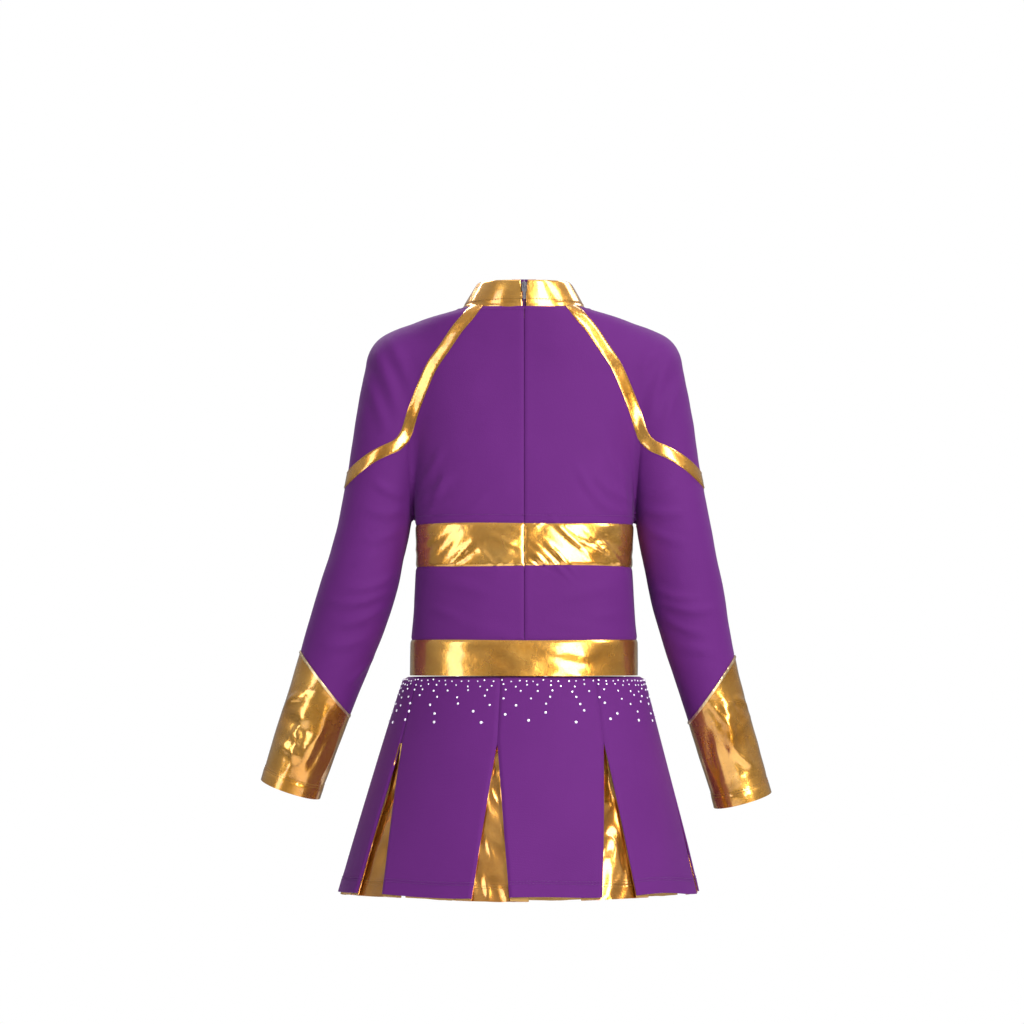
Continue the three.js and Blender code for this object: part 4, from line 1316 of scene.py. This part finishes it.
# %% Skirt panels
HEM_STITCH = (12.6, 15.0)  # the two rows of the hem, in millimetres above its edge
OPEN_GAP, SEWN_GAP = 0.25 * MM, 0.03 * MM  # beside an open pleat, and beside a sewn one
skirt_length = SKIRT_TOP - HEM_BACK


def hem_dip(up):
    """The hem is turned up; its double cloth ends at the stitches, which pull it in."""
    doubled = 0.45 / (1 + np.exp(np.clip((up - 16) * 1.8, -30, 30)))
    return doubled - sum(0.32 * np.exp(-(((up - row) / 0.7) ** 2)) for row in HEM_STITCH)


def panel_point(k, share, drop):
    """Middle of the cloth of panel k; share across it and drop down it, as arrays."""
    gap = half_opening(drop) + np.where(drop > PLEAT_STITCHED, OPEN_GAP, SEWN_GAP)
    start = pleats[k] + turn_of(gap, pleats[k], drop)
    end = pleats[k + 1] - turn_of(gap, pleats[k + 1], drop)
    angle = start + (end - start) * share
    rise = skirt_relief(angle, drop)
    from_edge = np.minimum(share, 1 - share)
    rise -= 1.5 * MM * np.exp(-((from_edge * 60) ** 2))
    from_hem = (1 - drop) * skirt_length / MM
    rise += hem_dip(from_hem) * MM
    from_top = drop * skirt_length / MM
    rise -= 3.8 * MM * np.exp(-((from_top / 2.4) ** 2))
    point = skirt_form(angle, drop)
    wander = 1.3 * MM * waves(point.reshape(-1, 3) * np.array([1, 1, 0]), 0.07, 30).reshape(drop.shape)
    point = point + skirt_normal(angle, drop) * (rise - 0.6 * MM)[..., None]
    point[..., 2] += wander * np.clip(drop, 0, 1) ** 6
    return point


down_rows = np.concatenate([np.linspace(0, 0.05, 8), np.linspace(0.06, 0.90, 42),
                            np.linspace(0.905, 1, 26)])
share_columns = np.concatenate([np.linspace(0, 0.05, 6), np.linspace(0.07, 0.93, 44),
                                np.linspace(0.95, 1, 6)])
skirt_surfaces, insert_surfaces = [], []
for k in range(PANELS):
    drop, share = np.meshgrid(down_rows, share_columns, indexing="ij")
    middle = panel_point(k, share, drop)
    normal = grid_normals(middle)
    outward = middle * np.array([1, 1, 0])
    normal *= np.sign((normal * outward).sum(-1).mean())
    name = f"cloth_skirt_panel_{k + 1}"
    piece, area = cloth_grid(name, middle, normal, CLOTH, [PURPLE, PURPLE_INSIDE])
    settle_sheet(piece, "purple_knit", f"skirt_panel_{k + 1}")
    skirt_surfaces.append((middle, normal, CLOTH / 2))

# %% [markdown]
# A gold insert is one strip folded like a flat box: from the edge of one panel it runs back
# behind that panel, folds, crosses behind the opening, and folds again to the other edge. Its
# foil crumples where it is folded, which shows as bright and dark facets.

# %% Pleat inserts
TUCK = 18 * MM  # how far the insert reaches back behind each panel
INSERT_TOP = PLEAT_STITCHED + 0.008
INSERT_FOOT = 1.008  # the insert hangs a little below the hem of the panels


def insert_section(half, tuck):
    """Across the insert: pairs of how far along the hem, and how deep behind the panels."""
    steps = [(-half, 2.6), (-half - tuck * 0.5, 2.6), (-half - tuck * 0.93, 2.9), (-half - tuck, 3.8),
             (-half - tuck * 0.93, 4.7), (-half - tuck * 0.4, 5.2)]
    side = np.array([(x, d * MM) for x, d in steps])
    other = side[::-1] * np.array([-1, 1])
    inner = np.linspace(-1, 1, 27)[1:-1]
    across = np.stack([inner * (half + tuck * 0.3), np.full(len(inner), 5.9 * MM)], 1)
    return np.concatenate([side, across, other])


def insert_creases(k, x, drop):
    """Crumples of the foil: slanting ridges, with a few straight creases across near the top."""
    flat = np.stack([x.ravel(), np.zeros(x.size), (drop * skirt_length).ravel()], 1)
    lean = 1 if k % 2 else -1
    slanted = flat @ np.array([[1, 0, 0], [0, 1, 0], [0.45 * lean, 0, 1]])
    broad = waves(slanted * np.array([1.0, 1, 0.55]), 0.021, 40 + k)
    sharp = 1 - np.abs(waves(slanted * np.array([1.0, 1, 0.7]), 0.014, 60 + k))
    rise = (1.7 * broad + 1.1 * sharp).reshape(x.shape)
    for level in (0.045, 0.115):
        rise -= 0.9 * np.exp(-(((drop - PLEAT_STITCHED - level) * skirt_length / MM / 1.1) ** 2))
    return rise * MM


insert_rows = np.concatenate([np.linspace(INSERT_TOP, 0.90, 44), np.linspace(0.905, INSERT_FOOT, 24)])
for k in range(PANELS):
    grid = []
    for drop in insert_rows:
        share = min(max((drop - INSERT_TOP) / 0.25, 0), 1)
        half = float(half_opening(np.array(drop))) + 0.6 * MM
        section = insert_section(half, TUCK * (0.25 + 0.75 * share))
        drops = np.full(len(section), drop)
        angle = pleats[k] + turn_of(section[:, 0], pleats[k], drops)
        free = np.clip(1 - (np.abs(section[:, 0]) / (half + 3 * MM)) ** 4, 0, 1)
        rise = insert_creases(k, section[:, 0], drops) * free
        up = (INSERT_FOOT - drops) * skirt_length / MM
        rise = rise + hem_dip(up) * MM * free
        belly = 2.5 * MM * np.clip(drops - PLEAT_STITCHED, 0, None) * free
        shift = rise - section[:, 1] - belly - 0.6 * MM
        panel_rise = skirt_relief(angle, drops)
        point = skirt_form(angle, drops) + skirt_normal(angle, drops) * (shift + panel_rise)[:, None]
        grid.append(point)
    middle = np.array(grid)
    normal = grid_normals(middle)
    centre = middle.shape[1] // 2
    outward = middle[:, centre] * np.array([1, 1, 0])
    normal *= np.sign((normal[:, centre] * outward).sum())
    name = f"cloth_pleat_insert_{k + 1}"
    # The inserts take the darker gold, which is painted shade for the inside of the pleat.
    piece, area = cloth_grid(name, middle, normal, 0.6 * MM, [GOLD_WITH_PAINTED_SHADE, GOLD_INSIDE])
    settle_sheet(piece, "gold_knit", f"pleat_insert_{k + 1}")
    shown = slice(centre - 10, centre + 11)
    insert_surfaces.append((middle[:, shown], normal[:, shown], 0.3 * MM))
print(f"skirt: {PANELS} panels and inserts, hem {skirt_length:.3f} m below the waist")

# %% [markdown]
# ## Zip
# The zip is sewn in behind the centre-back seam: two woven tapes, each with a coil along its
# inner edge. The slider, its pull tab and the stops are rigid and keep their shapes from the
# model, with a metal finish.

# %% Zip tapes and coils
LEAN_COS = 1 / math.hypot(1, back_lean)
LEAN_SIN = back_lean * LEAN_COS


ZIP_DEPTH, TAPE_OUT, COIL_OUT = 4 * MM, -4.12 * MM, -5.62 * MM
TAPE_THICK = 0.5 * MM


def by_zip(across, out, up):
    """A place in metres from the zip's own directions: across the back, out of it, and up it."""
    return np.stack([across, neck_back + out * LEAN_COS - up * LEAN_SIN, out * LEAN_SIN + up * LEAN_COS], -1)


def up_range(node):
    """The lowest and highest places of a node along the zip."""
    low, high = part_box(node)
    return tuple((z + ZIP_DEPTH * LEAN_SIN) / LEAN_COS for z in (low.z, high.z))


def zip_tape(side, word):
    low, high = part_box(f"zip_tape_{word}")
    inner, outer = 0.12 * MM, max(abs(low.x), abs(high.x))  # the cloth edges meet in the middle
    bottom, top = up_range(f"zip_tape_{word}")
    ups, across = np.meshgrid(np.linspace(bottom, top, 110), np.linspace(inner, outer, 9), indexing="ij")
    welt = 0.22 * MM * np.exp(-(((across - inner - 1.6 * MM) / (0.7 * MM)) ** 2))
    ripple = 0.12 * MM * np.sin(ups / (7.5 * MM) + side) * (across - inner) / (outer - inner)
    middle = by_zip(side * across, TAPE_OUT + ripple, ups)
    normal = np.broadcast_to(np.array([0, LEAN_COS, LEAN_SIN]), middle.shape)
    thicker = (1 + welt / TAPE_THICK)[..., None]
    piece = cloth_grid(f"cloth_zip_tape_{word}", middle, normal * thicker, TAPE_THICK,
                       [ZIP_CLOTH, ZIP_CLOTH])[0]
    settle_sheet(piece, "zip_cloth", f"zip_tape_{word}")


def zip_coil(side, word):
    """A coil of stiff thread; the two coils take turns along the middle."""
    pitch, around, thread = 1.35 * MM, 12, 0.27 * MM
    low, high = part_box(f"zip_coil_{word}")
    inner, outer = sorted((abs(low.x), abs(high.x)))
    bottom, top = up_range(f"zip_coil_{word}")
    turns = int((top - bottom - 2 * thread) / pitch)
    a = np.linspace(0, 2 * math.pi * turns, turns * around + 1) + (math.pi if side > 0 else 0)
    middle_x, half_x = (inner + outer) / 2 - 0.15 * MM, (outer - inner) / 2 + 0.15 * MM - thread
    up = bottom + thread + (a - a[0]) / (2 * math.pi) * pitch
    line = by_zip(side * (middle_x - half_x * np.cos(a)), COIL_OUT + 0.6 * MM * np.sin(a), up)
    heading = np.gradient(line, axis=0)
    heading /= np.linalg.norm(heading, axis=1)[:, None]
    first = np.cross(heading, np.array([0, -LEAN_SIN, LEAN_COS]))
    first /= np.linalg.norm(first, axis=1)[:, None]
    second = np.cross(heading, first)
    round_it = np.linspace(0, 2 * math.pi, 6)[:-1]
    tube = line[:, None] + thread * (
        first[:, None] * np.cos(round_it)[None, :, None] + second[:, None] * np.sin(round_it)[None, :, None]
    )
    index = np.arange(tube.shape[0] * 5).reshape(-1, 5)
    beside = np.roll(index, -1, 1)
    polygons = [*np.stack([index[:-1], beside[:-1], beside[1:], index[1:]], -1).reshape(-1, 4),
                index[0][::-1], index[-1]]
    piece = add_mesh(f"zip_coil_thread_{word}", tube.reshape(-1, 3), polygons, [ZIP_COIL], crease_angle=80)
    settle(piece, "zip_plastic", f"zip_coil_{word}")


for side, word in ((+1, "left"), (-1, "right")):
    zip_tape(side, word)
    zip_coil(side, word)
for name in ("zip_slider", "zip_pull_tab", "zip_top_stop_left", "zip_top_stop_right", "zip_bottom_stop"):
    metal_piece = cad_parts[name]
    metal_piece.data.materials.clear()
    metal_piece.data.materials.append(ZIP_METAL)
print("zip: two tapes, two coils and five metal pieces")

# %% [markdown]
# ## Rhinestones
# Small glued stones cover the top of the skirt. They sit close together under the waistband and
# thin out downwards, with the larger ones lowest. Each is a cut dome with a flat table on top.

# %% Rhinestones
# How far down each row is, its spacing and the radius of its stones, in millimetres.
STONE_ROWS = ((4.0, 7.0, 0.80), (8.6, 10.0, 0.85), (13.6, 15.0, 0.97), (20.0, 20.0, 1.05),
              (27.0, 26.0, 1.2), (34.5, 32.0, 1.3), (42.5, 38.0, 1.4))
stone_draw = random.Random(5)


def skirt_surface(angle, drop):
    """A point on the outer face of a skirt panel, and the direction it faces."""
    step = 0.004
    def outside(a, d):
        a, d = np.array([a]), np.array([d])
        rise = skirt_relief(a, d) - 0.6 * MM + CLOTH / 2
        return (skirt_form(a, d) + skirt_normal(a, d) * rise[:, None])[0]
    across = outside(angle + step, drop) - outside(angle - step, drop)
    down = outside(angle, drop + step) - outside(angle, drop - step)
    facing = np.cross(down, across)
    return outside(angle, drop), facing / np.linalg.norm(facing)


def stone(place, facing, radius, turn):
    """Points and faces of one stone, with its girdle, a ring of facets and a table."""
    side = np.cross(facing, [0.0, 0.0, 1.0])
    side /= np.linalg.norm(side)
    upward = np.cross(side, facing)
    rings = []
    for scale, rise, twist in ((0.98, -0.25, 0), (1.0, 0.12, 0), (0.82, 0.42, 0.5), (0.50, 0.60, 0)):
        a = turn + (np.arange(8) + twist) * math.pi / 4
        flat = side[None] * np.cos(a)[:, None] + upward[None] * np.sin(a)[:, None]
        rings.append(place + radius * (flat * scale + facing[None] * rise))
    verts = np.concatenate(rings)
    faces = [tuple(range(24, 32))]
    for level in range(3):
        for i in range(8):
            j = (i + 1) % 8
            a, b, c, d = level * 8 + i, level * 8 + j, level * 8 + 8 + j, level * 8 + 8 + i
            faces += [(a, b, d), (b, c, d)] if level else [(a, b, c, d)]
    return verts, faces + [tuple(range(7, -1, -1))]


stone_verts, stone_faces, stones = [], [], 0
for row, (down, spacing, radius) in enumerate(STONE_ROWS):
    drop = down * MM / skirt_length
    round_the_waist = 2 * math.pi / turn_of(1.0, np.array(math.pi / 2), np.array(drop))
    total = int(0.955 * round_the_waist / (spacing * MM))
    for i in range(total):
        angle = 2 * math.pi * (i + 0.5 * (row % 2) + stone_draw.uniform(-0.16, 0.16)) / total
        nudge = stone_draw.uniform(-0.9, 0.9) * (1 + row * 0.4) * MM / skirt_length
        place, facing = skirt_surface(angle, drop + nudge)
        size = radius * stone_draw.uniform(0.9, 1.12) * MM
        verts, stone_polygons = stone(place, facing, size, stone_draw.uniform(0, 0.8))
        offset = 32 * stones
        stone_verts.append(verts)
        stone_faces += [tuple(v + offset for v in face) for face in stone_polygons]
        stones += 1
rhinestones = add_mesh("rhinestones", np.concatenate(stone_verts), stone_faces, [CRYSTAL_WITH_PAINTED_GLOW], crease_angle=5)
settle(rhinestones, "crystal")
print(f"{stones} stones")

# %% [markdown]
# ## Stitches
# Topstitching runs along both edges of the shoulder tapes, above the upper band, round the
# cuffs, round the foot of the collar and along the hem. A row is found as the line where the
# form crosses a level, walked from one triangle to the next, and each stitch is a short bead of
# thread lying on the cloth.

# %% Stitches on the top
STITCH, THREAD_RADIUS = 3.1 * MM, 0.26 * MM


def level_crossings(line, where):
    """Chains of points on the form along which line is 0, with their normals."""
    chosen = faces[where(points[faces].mean(1))]
    value = line(points)
    value = np.where(np.abs(value) < 1e-9, 1e-9, value)
    links, places = {}, {}
    for face in chosen[(np.sign(value[chosen]) != np.sign(value[chosen[:, :1]])).any(1)]:
        ends = []
        for i in range(3):
            a, b = sorted((int(face[i]), int(face[(i + 1) % 3])))
            if (value[a] > 0) != (value[b] > 0):
                share = value[a] / (value[a] - value[b])
                places[a, b] = (points[a] * (1 - share) + points[b] * share,
                                normals[a] * (1 - share) + normals[b] * share)
                ends.append((a, b))
        if len(ends) == 2:
            links.setdefault(ends[0], []).append(ends[1])
            links.setdefault(ends[1], []).append(ends[0])
    chains = []
    starts = sorted((k for k in links if len(links[k]) == 1)) + sorted(links)
    left = set(links)
    for start in starts:
        if start not in left:
            continue
        chain, here = [], start
        while here is not None:
            left.discard(here)
            chain.append(places[here])
            here = next((k for k in links[here] if k in left), None)
        if len(links[start]) > 1:
            chain.append(chain[0])
        if len(chain) > 3:
            chains.append((np.array([c[0] for c in chain]), np.array([c[1] for c in chain])))
    return chains


def evenly(chain, chain_normals):
    """The chain again, with points a stitch apart."""
    length = run_along(chain)
    count = max(int(length[-1] / STITCH), 1)
    at_places = (np.arange(count) + 0.5) * length[-1] / count
    smooth = [np.stack([np.interp(at_places, length, v[:, i]) for i in range(3)], 1)
              for v in (chain, chain_normals)]
    apart = length + 1e-9 * np.arange(len(length))
    heading = np.stack([np.interp(at_places, length, np.gradient(chain[:, i], apart))
                        for i in range(3)], 1)
    return smooth[0], smooth[1] / np.linalg.norm(smooth[1], axis=1)[:, None], heading


thread = {"gold": ([], []), "purple": ([], [])}
# Places along one bead of thread, from -1 to 1, and how thick it is there.
BEAD = [(-1.0, 0.45), (-0.62, 1.0), (0.0, 1.12), (0.62, 1.0), (1.0, 0.45)]


def sew(colour, places, facing, heading):
    """Lay one bead of thread at each place; its ends go down into the cloth."""
    verts, polygons = thread[colour]
    for p, n, h in zip(places, facing, heading):
        h = h - n * (h @ n)
        size = np.linalg.norm(h)
        if size < 1e-9:
            continue
        h /= size
        side = np.cross(n, h)
        first = sum(len(v) for v in verts)
        for along, swell in BEAD:
            rise = THREAD_RADIUS * (0.75 if abs(along) < 0.9 else -0.4)
            middle = p + h * along * STITCH * 0.37 + n * rise
            a = np.linspace(0, 2 * math.pi, 6)[:-1]
            spokes = side[None] * np.cos(a)[:, None] + n[None] * np.sin(a)[:, None]
            verts.append(middle + THREAD_RADIUS * swell * spokes)
        for ring in range(len(BEAD) - 1):
            for i in range(5):
                j = (i + 1) % 5
                polygons.append((first + ring * 5 + i, first + ring * 5 + 5 + i,
                                 first + ring * 5 + 5 + j, first + ring * 5 + j))
        polygons.append(tuple(first + i for i in range(5)))
        polygons.append(tuple(first + (len(BEAD) - 1) * 5 + i for i in range(4, -1, -1)))


def sew_along(colour, line, where, lift):
    """A row of stitches on the top, where line is 0; lift is how far that cloth stands up."""
    for chain, chain_normals in level_crossings(line, where):
        places, facing, heading = evenly(chain, chain_normals)
        sew(colour, places + facing * (relief(places) + lift(places))[:, None], facing, heading)


for side in (+1, -1):
    for distance in (TAPE_HALF - 1.1, 1.1 - TAPE_HALF):
        sew_along("gold", shifted(raglan_line, distance), tape_region(side), tape_lift)
    for above in (HEM_STITCH[0] - 0.6, HEM_STITCH[1] - 0.6):
        sew_along("gold", shifted(sleeve_end_line(side), -above), sleeve_region(side, PIPING_HALF, BEYOND),
                  cuff_lift(side))
above_the_band = lambda p: below_tape(p) & (armhole_line(p) < 0) & (above_band(p) > 0)
sew_along("purple", shifted(above_band, 8.0), above_the_band, lambda p: 0 * p[:, 0])
below_neck = lambda p: in_neck(p) & (np.abs(raglan_line(p)) > TAPE_HALF)
sew_along("purple", shifted(neck_line, -3.0), below_neck, lambda p: 0 * p[:, 0])

# %% Stitches on the collar and the hem
ring, ring_length = neck_ring(0.1)
along = np.arange(slot_half(0.1) + 2 * MM, ring_length[-1] - slot_half(0.1) - 2 * MM, STITCH)
middle = np.stack([np.interp(along, ring_length, ring[:, i]) for i in (0, 1)], 1)
heading, outward = ring_directions(middle)
level = np.full((len(middle), 1), 0.1 * collar_height)
places = np.concatenate([middle + outward * 1.0 * MM, level], 1)
flat = lambda v: np.concatenate([v, np.zeros((len(v), 1))], 1)
sew("gold", places, flat(outward), flat(heading))


def sew_hem(surface, colour):
    """Two rows along the foot of a panel or an insert; surface is its grid and its normals."""
    middle, facing, half = surface
    lengths = np.linalg.norm(np.diff(middle, axis=0), axis=2)
    up = np.concatenate([np.cumsum(lengths[::-1], axis=0)[::-1], np.zeros((1, middle.shape[1]))])
    for row in HEM_STITCH:
        line, out = [], []
        for j in range(middle.shape[1]):
            line.append([np.interp(row * MM, up[::-1, j], middle[::-1, j, i]) for i in range(3)])
            out.append([np.interp(row * MM, up[::-1, j], facing[::-1, j, i]) for i in range(3)])
        places, normal, heading = evenly(np.array(line), np.array(out))
        sew(colour, places + normal * half, normal, heading)


for surface in skirt_surfaces:
    sew_hem(surface, "purple")
for surface in insert_surfaces:
    sew_hem(surface, "gold")
for colour, material, slot_name in (("gold", GOLD_THREAD, "gold_knit"),
                                    ("purple", PURPLE_THREAD, "purple_knit")):
    verts, polygons = thread[colour]
    stitches = add_mesh(f"stitches_{colour}", np.concatenate(verts), polygons, [material], crease_angle=80)
    settle(stitches, slot_name)
    print(len(polygons) // 22, colour, "stitches")

# %% [markdown]
# ## Floor and light
# The floor is a plain pale disc well below the dress, fading out at its edge so that no horizon
# shows. A tall softbox stands behind the dress to its right, a weaker one to its left and a
# narrow one beside the camera, so the foil gets bright and dark bands. One more lights the
# shoulders, a pair lights the front, and one hangs overhead.

# %% Floor
FLOOR_LEVEL, FLOOR_RADIUS = -1.15, 2.8
bpy.ops.mesh.primitive_circle_add(vertices=96, radius=FLOOR_RADIUS, fill_type="NGON",
                                  location=(0, 0, FLOOR_LEVEL))
floor = bpy.context.object
floor.name = "floor"
pale, tree, shader, where = new_finish("pale floor")
away = tree.nodes.new("ShaderNodeVectorMath")
away.operation = "LENGTH"
tree.links.new(where, away.inputs[0])
fade = tree.nodes.new("ShaderNodeMapRange")
fade.interpolation_type = "SMOOTHSTEP"
for socket, value in (("From Min", 1.2), ("From Max", FLOOR_RADIUS - 0.1), ("To Min", 1.0), ("To Max", 0.0)):
    fade.inputs[socket].default_value = value
tree.links.new(away.outputs["Value"], fade.inputs["Value"])
tree.links.new(fade.outputs["Result"], shader.inputs["Alpha"])
tone = placed(tree, TONE, where, Patches_per_metre=2.0, Grain_per_metre=60.0, Grain_share=0.3)
floor_colour = mixed(tree, tone.outputs["Tone"], (0.78, 0.78, 0.78), (0.82, 0.82, 0.82))
tree.links.new(floor_colour, shader.inputs["Base Color"])
shader.inputs["Roughness"].default_value = 0.7
floor.data.materials.append(pale)

# %% Softboxes


def softbox(name, place, toward, size, power, tint=(1, 1, 1)):
    light_data = bpy.data.lights.new(name, "AREA")
    light_data.shape, light_data.size, light_data.size_y = "RECTANGLE", size[0], size[1]
    light_data.energy, light_data.color = power, tint
    light = bpy.data.objects.new(name, light_data)
    bpy.context.scene.collection.objects.link(light)
    light.location = place
    light.rotation_euler = (Vector(toward) - Vector(place)).to_track_quat("-Z", "Y").to_euler()


middle_of_dress = (0, 0, -0.3)
softbox("key", (-1.3, 2.3, 0.45), middle_of_dress, (0.8, 2.2), 57, (1, 0.98, 0.96))
softbox("strip beside the camera", (-0.8, 2.5, -0.1), middle_of_dress, (0.3, 1.5), 10, (1, 0.98, 0.96))
softbox("shoulder light", (-1.8, 0.9, 1.4), (-0.1, 0, -0.1), (0.7, 1.4), 24)
softbox("fill", (1.9, 1.7, 0.1), middle_of_dress, (0.8, 1.8), 14)
softbox("front key", (1.3, -1.8, 1.7), middle_of_dress, (1.2, 1.2), 44)
softbox("front fill", (-1.5, -1.7, 1.6), middle_of_dress, (1.2, 1.2), 24)
softbox("overhead", (0, 0.3, 2.0), middle_of_dress, (1.4, 1.4), 14)

# %% World: white to the eye, and a darker room in reflections
world = bpy.data.worlds.new("studio")
bpy.context.scene.world = world
world.use_nodes = True
tree = world.node_tree
white = tree.nodes["Background"]
white.inputs["Color"].default_value = (1, 1, 1, 1)
room = tree.nodes.new("ShaderNodeBackground")
direction = tree.nodes.new("ShaderNodeTexCoord")
parts = tree.nodes.new("ShaderNodeSeparateXYZ")
tree.links.new(direction.outputs["Generated"], parts.inputs[0])
level = ranged(tree, parts.outputs["Z"], 0.14, 0.60, -0.3, 0.9)
tree.links.new(level, room.inputs["Strength"])
seen = tree.nodes.new("ShaderNodeLightPath")
shown = tree.nodes.new("ShaderNodeMixShader")
tree.links.new(seen.outputs["Is Camera Ray"], shown.inputs["Fac"])
tree.links.new(room.outputs[0], shown.inputs[1])
tree.links.new(white.outputs[0], shown.inputs[2])
tree.links.new(shown.outputs[0], tree.nodes["World Output"].inputs["Surface"])
bpy.context.scene.view_settings.view_transform = "Standard"
